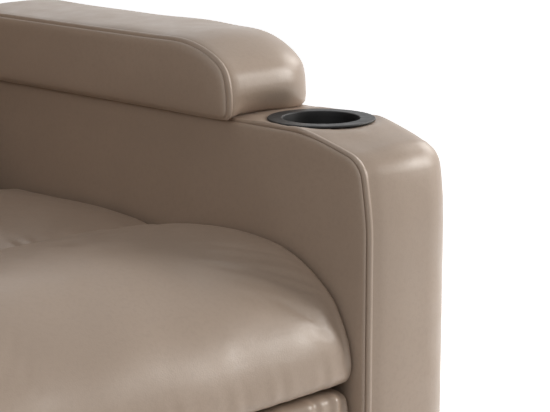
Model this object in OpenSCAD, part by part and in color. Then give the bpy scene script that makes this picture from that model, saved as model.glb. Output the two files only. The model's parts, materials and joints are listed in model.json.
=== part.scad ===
// Recliner seat with two upholstered arms, a reclining back and a scissor footrest.
// Millimetres. +Z is up, the chair faces -Y, the origin is on the floor under the middle of the chair.

/* [Arms] */
// Clear width between the two arms
seat_w = 540; // [500:5:600]
// Width of one arm
arm_w = 139; // [130:1:160]
// Height of the arm top above the floor
arm_top_z = 577; // [565:1:590]
// Length of an arm, front to rear
arm_depth = 762; // [740:1:790]
// Gap between the floor and the underside of the arms
arm_bottom_z = 35; // [30:1:42]
// Thickness of the padded band over the top and front of an arm
band_t = 25; // [20:1:28]
// Thickness of the padded panels on the sides of an arm
panel_t = 12; // [10:1:14]
// Depth of the band where it turns down over the outer side
band_turn = 45; // [36:1:60]
// Rounding of the band's upright outer corner
band_corner_r = 50; // [25:1:50]
// Rounding of the band's upper outer edge
band_edge_r = 26; // [15:1:28]

/* [Arm pads] */
// Length of an arm pad
pad_len = 474; // [440:1:480]
// Thickness of an arm pad at its seams
pad_h = 74; // [60:1:85]
// Overhang of an arm pad over the seat side of the arm
pad_overhang = 15; // [8:1:18]
// Distance of an arm pad behind the front of the arm
pad_setback = 183; // [183:1:210]

/* [Cup holders] */
// Radius of the flange
cup_flange_r = 55; // [50:0.5:58]
// Thickness of the flange
cup_flange_t = 2.4; // [2:0.1:4]
// Radius inside the mouth
cup_mouth_r = 39.5; // [38:0.1:44]
// Radius inside, at the floor of the cup
cup_floor_r = 35; // [34.5:0.5:37]
// Depth inside
cup_depth = 76; // [60:1:90]
// Wall thickness
cup_wall = 2.4; // [2:0.1:3]
// Distance of the cup's centre behind the front of the arm
cup_setback = 127; // [120:1:132]

/* [Seat] */
// Height of the front roll's seam at the arms
roll_top_z = 468; // [455:1:475]
// Depth of the front roll, front to rear
roll_depth = 283; // [265:1:295]
// Distance of the front roll behind the front of the arms
roll_setback = 12; // [8:1:16]
// Height of the rear section's seam at the arms
rear_top_z = 462; // [450:1:468]
// Rise of the seat cushions in their middle
seat_crown = 11; // [4:1:16]
// Gap between a cushion and the arms
seat_gap = 8; // [5:0.5:10]
// Height of the seat box rails' top face
box_top_z = 394; // [388:1:398]

/* [Back] */
// Height of the recline hinge
hinge_z = 352; // [348:1:356]
// Lean of the back from upright when the chair is up
back_lean = 14; // [10:0.5:16]
// Height of the back above the hinge, along its slope
back_h = 700; // [640:5:740]
// Distance from the hinge to the rear face of the back
back_rear = 95; // [92:1:96]
// Thickness of the back cushions at their seams
back_pad_t = 90; // [75:1:92]

/* [Footrest] */
// Height of the footrest panel when it hangs closed
rest_h = 243; // [225:1:250]
// Height of the closed panel's upper edge
rest_top_z = 333; // [328:1:334]
// Thickness of the footrest pad
rest_pad_t = 46; // [38:1:48]
// Length of a rear link, pivot to pivot
rear_link = 215; // [210:1:218]
// Length of a front link, pivot to pivot
front_link = 180; // [176:1:186]
// Spacing of the two pivots on a footrest bracket
bracket_link = 65; // [62:1:66]

/* [Mechanism] */
// Thickness of links and side plates
link_t = 5; // [4:0.5:5.5]
// Width of a link
link_w = 20; // [16:1:20]
// Gap between two layers of links
link_gap = 2; // [2:0.1:2.4]
// Radius of the pivots
pivot_r = 5; // [4:0.1:5.4]
// Radius of the drive tube
tube_r = 11; // [9:0.5:12]

/* [Release] */
// Width of the paddle's bezel
bezel_w = 110; // [100:1:120]
// Height of the paddle's bezel
bezel_h = 96; // [92:1:104]
// Height of the bezel's centre
bezel_z = 410; // [400:1:430]
// Distance of the bezel's centre ahead of the origin
bezel_fwd = 140; // [132:1:170]

/* [Hidden] */
// Clearances and overruns
eps = 0.05;
seam_gap = 0.3;
cut = 20;
foam_gap = 0.5;
tight = 0.2;

// Arm outline
arm_in = seat_w / 2;
arm_out = arm_in + arm_w;
droop_r = 300;
nose_r = 33;
face_r = 350;
droop_a = 15;
nose_a = 80;
run_droop = droop_r * sin(droop_a) + nose_r * (sin(nose_a) - sin(droop_a)) + face_r * (1 - sin(nose_a));
arm_rear_r = 12;
arm_nose_least = 2;

// Depth: the rear face of the back lies as far behind the origin as the arms reach ahead of it
back_top_r = 40;
chair_front = 457;
front_y = -chair_front;
rear_y = front_y + arm_depth;
hinge_y = chair_front - back_top_r - (back_rear - back_top_r) * cos(back_lean)
    - (back_h - back_top_r) * sin(back_lean);

// Cup
cup_y = front_y + cup_setback;
cup_shift = 4.5;
cup_x = arm_in + arm_w / 2 - cup_shift;

// Seat
cushion_w = seat_w - 2 * seat_gap;
roll_y = front_y + roll_setback;
roll_rear_y = roll_y + roll_depth;
roll_bottom_z = 340;
seat_to_hinge = 87;
seat_rear_y = hinge_y - seat_to_hinge;
box_inset = 6;
box_setback = 37;
box_w = cushion_w - 2 * box_inset;
box_front_y = front_y + box_setback;
box_to_hinge = 109;
box_rear_y = hinge_y - box_to_hinge;
box_rail = 24;
strap_t = 2.5;
strap_w = 46;

// Layers of the linkage, counted inwards from the side plate
plate_setback = 29;
plate_x = arm_in - plate_setback;
pitch = link_t + link_gap;
function layer(n) = plate_x - n * pitch;
rivet_head_r = 8;
rivet_head_t = 1.4;
eye_extra = 1;
eye_r = link_w / 2 + eye_extra;

// Pivots as [forward, up]; angles rise from straight ahead
function dir(a) = [cos(a), sin(a)];
a_closed = -90;
b_closed = 80;
g_setback = 108;
g_z = 268;
g_pivot = [chair_front - g_setback, g_z];
e_pivot = g_pivot + rear_link * dir(a_closed);
c_pivot = g_pivot + (rear_link - bracket_link) * dir(a_closed);
k_pivot = e_pivot + front_link * dir(b_closed);
f_pivot = k_pivot - bracket_link * dir(a_closed);
tail = 20;
q_pivot = c_pivot - tail * dir(b_closed);
// Place of the rocker's lower end that follows the cross link's tail most closely
rocker_offset = [13.45, 23.55];
rocker_base = g_pivot - rocker_offset;
eye_offset = [-1.2, -1.55];
slack_r = 2.5;
drive_offset = [150, 80];
t_pivot = g_pivot - drive_offset;
crank = 60;
u_pivot = t_pivot + crank * dir(a_closed);
v_pivot = g_pivot + crank * dir(a_closed);
plate_rail_z = [290, 331];
leg_front = [-270, -180];
leg_rear = [20, 95];
foot_plate_t = 5;
runner_h = 25;
runner_w = 30;
runner_wall = 2;
floor_hole_r = 5.5;
runner_y = [-330, 250];
runner_x = plate_x + link_t / 2;

// Footrest
rest_setback = 7;
rest_face = chair_front - rest_setback;
board_t = 11;
board_f = rest_face - rest_pad_t - board_t;
board_edge = 10;

// Release
trip_offset = [-9, 67];
trip_pivot = t_pivot + trip_offset;
sector_r = 34;
bezel_t = 3;
tub_wall = 2;
tub_depth = 34;
paddle_pin_r = 2.5;

leather = [0.66, 0.57, 0.50];
leather_dark = [0.60, 0.51, 0.44];
steel = [0.16, 0.16, 0.17];
bright = [0.72, 0.72, 0.72];
timber = [0.80, 0.66, 0.46];
black = [0.08, 0.08, 0.08];

// Helpers
// Extrudes a flat shape drawn in [y, z] along X
module along_x(x, t) {
    translate([x, 0, 0]) rotate([90, 0, 90]) linear_extrude(t) children();
}

// Extrudes a flat shape drawn in [x, z] along Y
module along_y(y, t) {
    translate([0, y + t, 0]) rotate([90, 0, 0]) linear_extrude(t) children();
}

// A block from its lowest corner to its highest corner
module block(low, high) {
    translate(low) cube(high - low);
}

// A rod along X through a [forward, up] point
module rod(p, r, x0, x1, sides = 48) {
    translate([x0, -p[0], p[1]]) rotate([0, 90, 0]) cylinder(r = r, h = x1 - x0, $fn = sides);
}

// The right-hand copy of a left-hand piece
module right() {
    mirror([1, 0, 0]) children();
}

module both() {
    children();
    right() children();
}

// Points of an arc about c; angle 0 looks up and 90 looks forward
function nose(c, r, a0, a1, k) =
    [for (i = [0:k]) let(a = a0 + (a1 - a0) * i / k) c + r * [-sin(a), cos(a)]];

// Points of an arc about c, counter-clockwise from a0
function arc(c, r, a0, a1, k) = [for (i = [0:k]) let(a = a0 + (a1 - a0) * i / k) c + r * [cos(a), sin(a)]];

// Side outline of an arm, drawn in by i all round except at the bottom
function arm_outline(i) = let(
    deep = i > nose_r - arm_nose_least,
    c1 = [front_y + run_droop, arm_top_z - droop_r],
    c2 = c1 + (droop_r - nose_r) * [-sin(droop_a), cos(droop_a)],
    c3 = c2 + (nose_r - face_r) * [-sin(nose_a), cos(nose_a)])
    concat([[rear_y - i, arm_top_z - i]],
        nose(c1, droop_r - i, 0, deep ? droop_a / 2 : droop_a, 5),
        deep ? [c2 + (i - nose_r) * [1, -1]] : nose(c2, nose_r - i, droop_a, nose_a, 8),
        nose(c3, face_r - i, deep ? (nose_a + 90) / 2 : nose_a, 90, 3),
        [[front_y + i, arm_bottom_z], [rear_y - i, arm_bottom_z]]);

// Section of a padded piece, counter-clockwise: a wide, b high, four corner radii and four swells
function pad_section(a, b, r, swell, k, m) = let(
    c = [[a / 2 - r[0], b / 2 - r[0]], [r[1] - a / 2, b / 2 - r[1]],
        [r[2] - a / 2, r[2] - b / 2], [a / 2 - r[3], r[3] - b / 2]])
    [for (s = [0:3]) each concat(arc(c[s], r[s], 90 * s, 90 * s + 90, k),
        [for (j = [1:m]) let(
            n = [cos(90 * s + 90), sin(90 * s + 90)],
            p0 = c[s] + r[s] * n,
            p1 = c[(s + 1) % 4] + r[(s + 1) % 4] * n,
            t = j / (m + 1)) p0 + (p1 - p0) * t + n * swell[s] * 4 * t * (1 - t)])];

// A stuffed piece along X: its section swells to the middle, and its ends round off and draw in
module cushion(length, width, height, radii, swells, end_r, draw, low_share = 1) {
    end_angles = [68, 45, 22];
    mids = 5;
    k = 4;
    m = 3;
    half = length / 2;
    core = half - end_r;
    stations = concat(
        [for (a = end_angles) [-core - end_r * sin(a), end_r * (1 - cos(a))]],
        [for (i = [0:mids - 1]) [core * (2 * i / (mids - 1) - 1), 0]],
        [for (i = [len(end_angles) - 1:-1:0]) let(a = end_angles[i])
            [core + end_r * sin(a), end_r * (1 - cos(a))]]);
    function ring(x, inset, share) = let(
        b = height - inset * (1 + low_share),
        g = max(0, 1 - pow(x / half, 2)),
        lift = -inset * (1 - low_share) / 2,
        pts = pad_section(width - 2 * inset, b, radii * b / height, swells * g, k, m))
        [for (p = pts) [x, p[0] * share, p[1] * share + lift]];
    rings = concat([ring(-half + draw, end_r * (1 - cos(end_angles[0])), 1 / 2)],
        [for (s = stations) ring(s[0], s[1], 1)],
        [ring(half - draw, end_r * (1 - cos(end_angles[0])), 1 / 2)]);
    n = len(rings[0]);
    last = len(rings) - 1;
    cap = end_r * (1 - cos(end_angles[0])) * (1 - low_share) / 2;
    points = concat([[-half + draw, 0, -cap]], [for (r = rings) each r], [[half - draw, 0, -cap]]);
    faces = concat(
        [for (j = [0:n - 1]) [0, 1 + j, 1 + (j + 1) % n]],
        [for (i = [0:last - 1]) for (j = [0:n - 1]) each let(
            a = 1 + i * n + j, b = 1 + i * n + (j + 1) % n, c = b + n, d = a + n) [[a, d, c], [a, c, b]]],
        [for (j = [0:n - 1]) [len(points) - 1, 1 + last * n + (j + 1) % n, 1 + last * n + j]]);
    polyhedron(points, faces);
}

// A tube of radius r along a list of points, with square ends
module swept(points, r, sides, ref = [0, 0, 1]) {
    last = len(points) - 1;
    function unit(v) = v / norm(v);
    rings = [for (i = [0:last]) let(
        t = unit(points[min(i + 1, last)] - points[max(i - 1, 0)]),
        side = unit(cross(t, ref)),
        up = cross(t, side))
        [for (j = [0:sides - 1]) let(a = 360 * j / sides) points[i] + r * (cos(a) * side + sin(a) * up)]];
    faces = concat([[for (j = [0:sides - 1]) j]],
        [for (i = [0:last - 1]) for (j = [0:sides - 1]) let(
            a = i * sides + j,
            b = i * sides + (j + 1) % sides)
            each [[a, a + sides, b + sides], [a, b + sides, b]]],
        [[for (j = [sides - 1:-1:0]) last * sides + j]]);
    polyhedron([for (ring = rings) each ring], faces);
}

// A close coil along +Z about a rod of radius r; its straight chords stay clear of the rod
module coil(r, wire_r, length, turns) {
    steps = 8;
    sides = 6;
    mean_r = (r + wire_r) / cos(180 / steps);
    swept([for (i = [0:turns * steps]) let(a = 360 * i / steps)
        [mean_r * cos(a), mean_r * sin(a), length * i / (turns * steps)]], wire_r, sides);
}

// Arms
module arm_block() {
    top = arm_top_z + cut;
    r = band_corner_r;
    e = band_edge_r;
    q = arm_rear_r;
    intersection() {
        along_x(arm_in, arm_w) polygon(arm_outline(0));
        linear_extrude(top) polygon(concat([[arm_in, rear_y], [arm_in, front_y]],
            arc([arm_out - r, front_y + r], r, -90, 0, 8), arc([arm_out - q, rear_y - q], q, 0, 90, 4)));
        along_y(front_y, arm_depth) polygon(concat([[arm_in, arm_top_z], [arm_in, 0], [arm_out, 0]],
            arc([arm_out - e, arm_top_z - e], e, 0, 90, 7)));
    }
}

module cup_hole(r) {
    translate([cup_x, cup_y, arm_top_z - cup_depth - 2 * cut])
        cylinder(r = r, h = cup_depth + 4 * cut, $fn = 72);
}

module arm_inner_panel(cable = false) {
    color(leather_dark) difference() {
        intersection() {
            arm_block();
            block([arm_in - cut, front_y - cut, 0], [arm_in + panel_t, rear_y + cut, arm_top_z + cut]);
        }
        for (p = spacer_points) rod(p, spacer_bolt_r + tight, arm_in - cut, arm_in + panel_t + cut);
        if (cable) rod(cable_hole, cable_hole_r, arm_in - cut, arm_in + panel_t + cut);
    }
}

module arm_band() {
    x0 = arm_in + panel_t + seam_gap;
    x1 = arm_out - panel_t;
    color(leather) difference() {
        intersection() {
            arm_block();
            block([x0, front_y - cut, 0], [arm_out + cut, rear_y + cut, arm_top_z + cut]);
        }
        along_x(x0 - cut, x1 - x0 + cut) polygon(arm_outline_low(band_t));
        along_x(x1 - eps, panel_t + cut) polygon(arm_outline_low(band_turn));
        cup_hole(cup_mouth_r + cup_wall + foam_gap);
    }
}

// The drawn-in outline, carried on below the arm so that it cuts right through
function arm_outline_low(i) =
    [for (p = arm_outline(i)) p[1] > arm_bottom_z ? p : [p[0], arm_bottom_z - cut]];

module arm_outer_panel(release = false) {
    color(leather_dark) difference() {
        intersection() {
            arm_block();
            along_x(arm_out - panel_t, panel_t + cut) polygon(arm_outline(band_turn + seam_gap));
        }
        if (release) bezel_space();
    }
}

module arm_frame() {
    x0 = arm_in + panel_t + seam_gap;
    x1 = arm_out - panel_t - seam_gap;
    board = 18;
    inner = band_t + seam_gap;
    low = arm_bottom_z + board;
    top = arm_top_z - inner - 2 * board;
    post_gap = 9;
    color(timber) difference() {
        along_x(x0, x1 - x0) intersection() {
            polygon(arm_outline(inner));
            union() {
                // top, front, rear and bottom boards and a middle post
                translate([front_y, top]) square([arm_depth, arm_top_z]);
                translate([front_y + inner, 0]) square([board, arm_top_z]);
                translate([rear_y - inner - board, 0]) square([board, arm_top_z]);
                translate([front_y, 0]) square([arm_depth, low]);
                translate([-bezel_fwd + bezel_w / 2 + post_gap, 0]) square([board, arm_top_z]);
            }
        }
        cup_hole(cup_mouth_r + cup_wall + foam_gap);
        for (p = foot_points) translate([p[0], p[1], 0])
            cylinder(r = foot_pin_r + tight, h = low + cut, $fn = 32);
    }
}

// Feet under the arms
foot_inset = [70, 60];
foot_points = [[cup_x, front_y + foot_inset[0]], [cup_x, rear_y - foot_inset[1]]];
foot_r = 26;
foot_taper = 5;
foot_pin_r = 5;
foot_pin_rise = 15;
module arm_feet() {
    color(black) both() for (p = foot_points) translate([p[0], p[1], 0]) {
        cylinder(r1 = foot_r - foot_taper, r2 = foot_r, h = arm_bottom_z, $fn = 48);
        cylinder(r = foot_pin_r, h = arm_bottom_z + foot_pin_rise, $fn = 32);
    }
}

// Spacers and bolts that carry the arms on the side plates
spacer_points = [[225, 310], [-60, 310]];
spacer_bolt_r = 4;
spacer_r = 12;
bolt_head_r = 7;
bolt_head_t = 4;
module arm_spacers() {
    color(steel) both() for (p = spacer_points) difference() {
        rod(p, spacer_r, plate_x + link_t, arm_in);
        rod(p, spacer_bolt_r + tight, plate_x - cut, arm_in + cut);
    }
}

module arm_bolts() {
    color(bright) both() for (p = spacer_points) {
        rod(p, spacer_bolt_r, plate_x - eps, arm_in + panel_t);
        rod(p, bolt_head_r, plate_x - bolt_head_t, plate_x, 6);
    }
}

module arm_pad() {
    w = arm_out - arm_in + pad_overhang;
    x0 = arm_in - pad_overhang;
    y0 = front_y + pad_setback;
    radii = [16, 34, 10, 8];
    swells = [9, 0, 0, 0];
    end_r = 38;
    draw = 3;
    low_share = 1 / 5;
    color(leather) translate([x0 + w / 2, y0 + pad_len / 2, arm_top_z + seam_gap + pad_h / 2])
        rotate([0, 0, 90]) cushion(pad_len, w, pad_h, radii, swells, end_r, draw, low_share);
}

module cup_holder() {
    z0 = arm_top_z - cup_depth - cup_wall + cup_flange_t;
    top = arm_top_z + cup_flange_t;
    lip = cup_flange_t / 2;
    color(black) translate([cup_x, cup_y, 0]) rotate_extrude($fn = 96) polygon(concat(
        [[0, z0], [cup_floor_r + cup_wall, z0], [cup_mouth_r + cup_wall, arm_top_z],
            [cup_flange_r - lip, arm_top_z]],
        arc([cup_flange_r - lip, arm_top_z + lip], lip, -60, 90, 6),
        [[cup_mouth_r + lip, top]], arc([cup_mouth_r + lip, top - lip], lip, 90, 180, 4),
        [[cup_floor_r, z0 + cup_wall], [0, z0 + cup_wall]]));
}

// Seat
module seat_box() {
    x = box_w / 2;
    z0 = plate_rail_z[1];
    front_z0 = roll_bottom_z + front_lift;
    color(timber) {
        both() block([x - box_rail, box_front_y + box_rail, z0], [x, box_rear_y, box_top_z]);
        block([-x, box_front_y, front_z0], [x, box_front_y + box_rail, box_top_z]);
        block([-x, box_rear_y - box_rail, z0], [x, box_rear_y, box_top_z]);
    }
}
front_lift = 2;
screw_r = 3;
screw_head_r = 6;
screw_head_t = 3;

module seat_straps() {
    count = 6;
    span = box_w - 2 * box_rail;
    step = span / count;
    color(black) for (i = [0:count - 1]) {
        x = -span / 2 + step * (i + 1 / 2);
        block([x - strap_w / 2, box_front_y + box_rail / 2, box_top_z],
            [x + strap_w / 2, box_rear_y - box_rail / 2, box_top_z + strap_t]);
    }
}

seat_end_r = 16;
seat_draw = 2;
module seat_rear_cushion() {
    z0 = box_top_z + strap_t + seam_gap;
    y0 = roll_rear_y + seam_gap;
    w = seat_rear_y - y0;
    h = rear_top_z - z0;
    radii = [16, 18, 3, 3];
    color(leather) translate([0, y0 + w / 2, z0 + h / 2])
        cushion(cushion_w, w, h, radii, [seat_crown, 0, 0, 0], seat_end_r, seat_draw);
}

module seat_front_roll() {
    h = roll_top_z - roll_bottom_z;
    face_share = 0.875;
    radii = [30, h * face_share, 14, 2];
    face_swell = 5;
    color(leather) difference() {
        translate([0, roll_y + roll_depth / 2, roll_bottom_z + h / 2])
            cushion(cushion_w, roll_depth, h, radii, [seat_crown, face_swell, 0, 0], seat_end_r, seat_draw);
        block([-cushion_w, box_front_y - foam_gap, roll_bottom_z - cut],
            [cushion_w, roll_rear_y + cut, box_top_z + strap_t + seam_gap]);
    }
}

// Closing panel between the arms, low at the rear
module rear_apron() {
    t = 14;
    setback = 20;
    lift = 10;
    drop = 67;
    color(leather_dark) block([-arm_in + foam_gap, rear_y - setback, arm_bottom_z + lift],
        [arm_in - foam_gap, rear_y - setback + t, hinge_z - drop]);
}

// Base frame
module base_frame() {
    z0 = foot_plate_t;
    x0 = runner_x - runner_w / 2;
    x1 = runner_x + runner_w / 2;
    color(steel) {
        both() {
            difference() {
                block([x0, runner_y[0], z0], [x1, runner_y[1], z0 + runner_h]);
                block([x0 + runner_wall, runner_y[0] - cut, z0 + runner_wall],
                    [x1 - runner_wall, runner_y[1] + cut, z0 + runner_h - runner_wall]);
            }
            for (y = floor_plate_y) difference() {
                block([x0 - floor_tab, y - runner_w, 0], [x1, y + runner_w, z0]);
                translate([floor_hole_x, y, -cut]) cylinder(r = floor_hole_r, h = 2 * cut + z0, $fn = 48);
            }
        }
        for (y = cross_y) difference() {
            block([-x0, y, z0], [x0, y + runner_h, z0 + runner_h]);
            block([-x0 - cut, y + runner_wall, z0 + runner_wall],
                [x0 + cut, y + runner_h - runner_wall, z0 + runner_h - runner_wall]);
        }
    }
}
floor_tab = 30;
floor_hole_x = runner_x - runner_w / 2 - floor_tab / 2;
floor_plate_y = [runner_y[0] + runner_w, runner_y[1] - runner_w];
cross_y = [-250, 200];

// Side plates of the mechanism
module side_plate() {
    r = 16;
    color(steel) along_x(plate_x, link_t) difference() {
        union() {
            translate([-g_pivot[0] - r, plate_rail_z[0]])
                square([hinge_y + g_pivot[0] + 2 * r, plate_rail_z[1] - plate_rail_z[0]]);
            for (leg = [leg_front, leg_rear]) translate([leg[0], foot_plate_t + runner_h])
                square([leg[1] - leg[0], plate_rail_z[0] - foot_plate_t - runner_h]);
            // lug for the two front pivots
            translate([-g_pivot[0] - r, rocker_base[1]])
                square([g_pivot[0] - rocker_base[0] + 2 * r, plate_rail_z[0] - rocker_base[1]]);
            translate([-rocker_base[0], rocker_base[1]]) circle(r = r, $fn = 48);
            // lug for the recline hinge
            translate([hinge_y, hinge_z]) circle(r = r, $fn = 48);
            translate([hinge_y - r, plate_rail_z[0]]) square([2 * r, hinge_z - plate_rail_z[0]]);
        }
        translate([-g_pivot[0], g_pivot[1]]) circle(r = pivot_r + eps, $fn = 48);
        translate([-rocker_base[0], rocker_base[1]]) circle(r = pivot_r + eps, $fn = 48);
        translate([-t_pivot[0], t_pivot[1]]) circle(r = bush_r + eps, $fn = 64);
        translate([-trip_pivot[0], trip_pivot[1]]) circle(r = pivot_r + eps, $fn = 48);
        translate([hinge_y, hinge_z]) circle(r = pivot_r + eps, $fn = 48);
        for (p = spacer_points) translate([-p[0], p[1]]) circle(r = spacer_bolt_r + tight, $fn = 32);
    }
}
bush_wall = 3;
bush_r = tube_r + bush_wall;

// A rivet through layers a (outer) to b (inner) at a [forward, up] point
module rivet(p, a, b, r = pivot_r) {
    rod(p, r, layer(b) - rivet_head_t, layer(a) + link_t + rivet_head_t);
    rod(p, rivet_head_r, layer(b) - rivet_head_t, layer(b) - eps);
    rod(p, rivet_head_r, layer(a) + link_t + eps, layer(a) + link_t + rivet_head_t);
    rod(p, rivet_head_r, layer(b) + link_t + tight, layer(a) - tight);
}

module plate_rivets() {
    color(bright) both() {
        rivet(g_pivot, 0, 3);
        rivet(rocker_base, 0, 1);
        rivet([-hinge_y, hinge_z], 0, 1);
    }
}

module tube_bushes() {
    flange = 1.5;
    lip = 3;
    color(black) both() difference() {
        union() {
            rod(t_pivot, bush_r, plate_x - flange, plate_x + link_t);
            rod(t_pivot, bush_r + lip, plate_x - flange, plate_x - eps);
        }
        rod(t_pivot, tube_r + eps, plate_x - cut, plate_x + cut, 64);
    }
}

module drive_springs() {
    wire = 1.5;
    turns = 5;
    length = 30;
    inset = 25;
    color(bright) both() translate([layer(5) - inset - length, -t_pivot[0], t_pivot[1]]) rotate([0, 90, 0])
        coil(tube_r + seam_gap, wire, length, turns);
}

// Links: flat bars with round ends and a hole at each pivot
module bar(points, w, n, holes) {
    color(steel) along_x(layer(n), link_t) difference() {
        union() {
            for (i = [0:len(points) - 2]) let(
                a = [-points[i][0], points[i][1]],
                b = [-points[i + 1][0], points[i + 1][1]],
                s = w / 2 * [a[1] - b[1], b[0] - a[0]] / norm(b - a))
                polygon([a - s, b - s, b + s, a + s]);
            for (p = points) translate([-p[0], p[1]]) circle(r = w / 2 + eye_extra, $fn = 48);
        }
        for (h = holes) translate([-h[0][0], h[0][1]]) circle(r = h[1], $fn = 48);
    }
}

run_r = pivot_r + eps;

module drive_tube() {
    wall = 2;
    over = 6;
    hub = 6;
    color(steel) difference() {
        union() {
            rod(t_pivot, tube_r, -plate_x - link_t - over, plate_x + link_t + over, 64);
            both() {
                bar([t_pivot, u_pivot], link_w, 3, [[u_pivot, run_r]]);
                rod(t_pivot, tube_r + hub, layer(3), layer(3) + link_t);
            }
            right() rod(t_pivot, sector_r, layer(5), layer(5) + link_t, 96);
        }
        rod(t_pivot, tube_r - wall, -arm_in - cut, arm_in + cut, 64);
    }
}

module crank_rivets() {
    color(bright) both() rivet(u_pivot, 3, 4);
}

module drive_links() {
    slim = 2;
    both() bar([u_pivot, v_pivot], link_w - slim, 4, [[u_pivot, run_r], [v_pivot, run_r]]);
}

module rear_link() {
    holes = [for (p = [g_pivot, c_pivot, v_pivot, e_pivot]) [p, run_r]];
    bar([g_pivot, e_pivot], link_w, 3, holes);
}

module rear_link_rivets() {
    color(bright) both() {
        rivet(c_pivot, 2, 3);
        rivet(e_pivot, 3, 4);
        rivet(v_pivot, 3, 4);
    }
}

module cross_link() {
    bar([q_pivot, f_pivot], link_w, 2, [[q_pivot, run_r], [c_pivot, run_r], [f_pivot, run_r]]);
}

module cross_link_rivets() {
    color(bright) both() rod(q_pivot, pivot_r, layer(2) - rivet_head_t, layer(1) + link_t - eps);
    color(bright) both() rod(q_pivot, rivet_head_r, layer(2) - rivet_head_t, layer(2) - eps);
}

module rocker_links() {
    w = link_w + slack_r;
    eye = q_pivot + eye_offset;
    both() bar([rocker_base, eye], w, 1, [[rocker_base, run_r], [eye, pivot_r + slack_r]]);
}

module front_link() {
    bar([e_pivot, k_pivot], link_w, 4, [[e_pivot, run_r], [k_pivot, run_r]]);
}

module footrest_bracket() {
    low = rest_top_z - rest_h + bracket_rise;
    color(steel) {
        along_x(layer(3), link_t) difference() {
            union() {
                for (p = [k_pivot, f_pivot]) translate([-p[0], p[1]]) circle(r = eye_r, $fn = 48);
                translate([-board_f, low]) square([board_f - k_pivot[0] + eye_r, f_pivot[1] - low]);
            }
            for (p = [k_pivot, f_pivot]) translate([-p[0], p[1]]) circle(r = run_r, $fn = 48);
        }
        difference() {
            block([layer(3) - bracket_flange, -board_f, low],
                [layer(3) + link_t, -board_f + bracket_flange_t, low + bracket_flange_h]);
            for (z = bracket_screw_z(low)) translate([layer(3) - bracket_flange / 2, -board_f - cut, z])
                rotate([-90, 0, 0]) cylinder(r = screw_r + tight, h = 2 * cut, $fn = 32);
        }
    }
}
bracket_rise = 60;
bracket_flange = 30;
bracket_flange_t = 3;
bracket_flange_h = 60;
bracket_screw_in = 15;
function bracket_screw_z(low) = [low + bracket_screw_in, low + bracket_flange_h - bracket_screw_in];

module bracket_rivets() {
    color(bright) both() {
        rivet(f_pivot, 2, 3);
        rivet(k_pivot, 3, 4);
    }
}

module footrest_board() {
    low = rest_top_z - rest_h;
    x = cushion_w / 2 - board_edge;
    color(timber) difference() {
        block([-x, -board_f - board_t, low + board_edge], [x, -board_f, rest_top_z - board_edge]);
        both() for (z = bracket_screw_z(low + bracket_rise))
            translate([layer(3) - bracket_flange / 2, -board_f - board_t - cut, z]) rotate([-90, 0, 0])
                cylinder(r = screw_r + tight, h = board_t + 2 * cut, $fn = 32);
    }
}

module footrest_screws() {
    low = rest_top_z - rest_h;
    color(bright) both() for (z = bracket_screw_z(low + bracket_rise))
        translate([layer(3) - bracket_flange / 2, -board_f + bracket_flange_t, z]) {
            translate([0, screw_head_t, 0]) rotate([90, 0, 0])
                cylinder(r = screw_r, h = board_t + screw_head_t, $fn = 32);
            translate([0, eps, 0]) rotate([-90, 0, 0])
                cylinder(r = screw_head_r, h = screw_head_t, $fn = 32);
        }
}

module footrest_pad() {
    radii = [6, 20, 20, 6];
    swells = [0, 3, 0, 0];
    color(leather) translate([0, -rest_face + rest_pad_t / 2 - tight, rest_top_z - rest_h / 2])
        cushion(cushion_w, rest_pad_t - 2 * tight, rest_h, radii, swells, seat_end_r, seat_draw);
}

// Back, drawn upright about the hinge and leaned by back_place
module back_place() {
    translate([0, hinge_y, hinge_z]) rotate([-back_lean, 0, 0]) children();
}

post_x = layer(1);
post_w = 26;
post_t = 36;
back_low = 20;
back_frame_drop = 42;
back_frame_h = back_h - back_frame_drop;
rail_inset = 4;
module back_frame() {
    rail = 50;
    color(timber) back_place() {
        both() difference() {
            block([post_x - post_w, 0, back_low], [post_x, post_t, back_frame_h]);
            for (z = hinge_screw_z) translate([post_x - post_w - cut, post_t / 2, z]) rotate([0, 90, 0])
                cylinder(r = screw_r + tight, h = post_w + 2 * cut, $fn = 32);
        }
        for (z = [back_low, back_h / 2 - rail, back_frame_h - rail])
            block([-post_x + post_w, rail_inset, z], [post_x - post_w, post_t - rail_inset, z + rail]);
    }
}
hinge_screw_z = [45, 95];

module back_hinge() {
    r = 14;
    foot = 28;
    plate_h = 125;
    color(steel) back_place() along_x(layer(1), link_t) difference() {
        union() {
            circle(r = r, $fn = 48);
            translate([-r, 0]) square([r + post_t, foot]);
            square([post_t, plate_h]);
        }
        circle(r = run_r, $fn = 48);
        for (z = hinge_screw_z) translate([post_t / 2, z]) circle(r = screw_r + tight, $fn = 32);
    }
}

module back_hinge_screws() {
    len = post_w + link_t + screw_head_t;
    color(bright) back_place() both() for (z = hinge_screw_z)
        translate([0, post_t / 2, z]) rotate([0, 90, 0]) {
            translate([0, 0, post_x - post_w]) cylinder(r = screw_r, h = len, $fn = 32);
            translate([0, 0, layer(1) + link_t + eps])
                cylinder(r = screw_head_r, h = screw_head_t, $fn = 32);
        }
}

module back_straps() {
    count = 7;
    low = 90;
    span = back_frame_h - low - strap_w;
    x = post_x - rail_inset;
    color(black) back_place() for (i = [0:count - 1])
        block([-x, -strap_t, low + span * i / (count - 1)],
            [x, -eps, low + span * i / (count - 1) + strap_w]);
}

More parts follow.
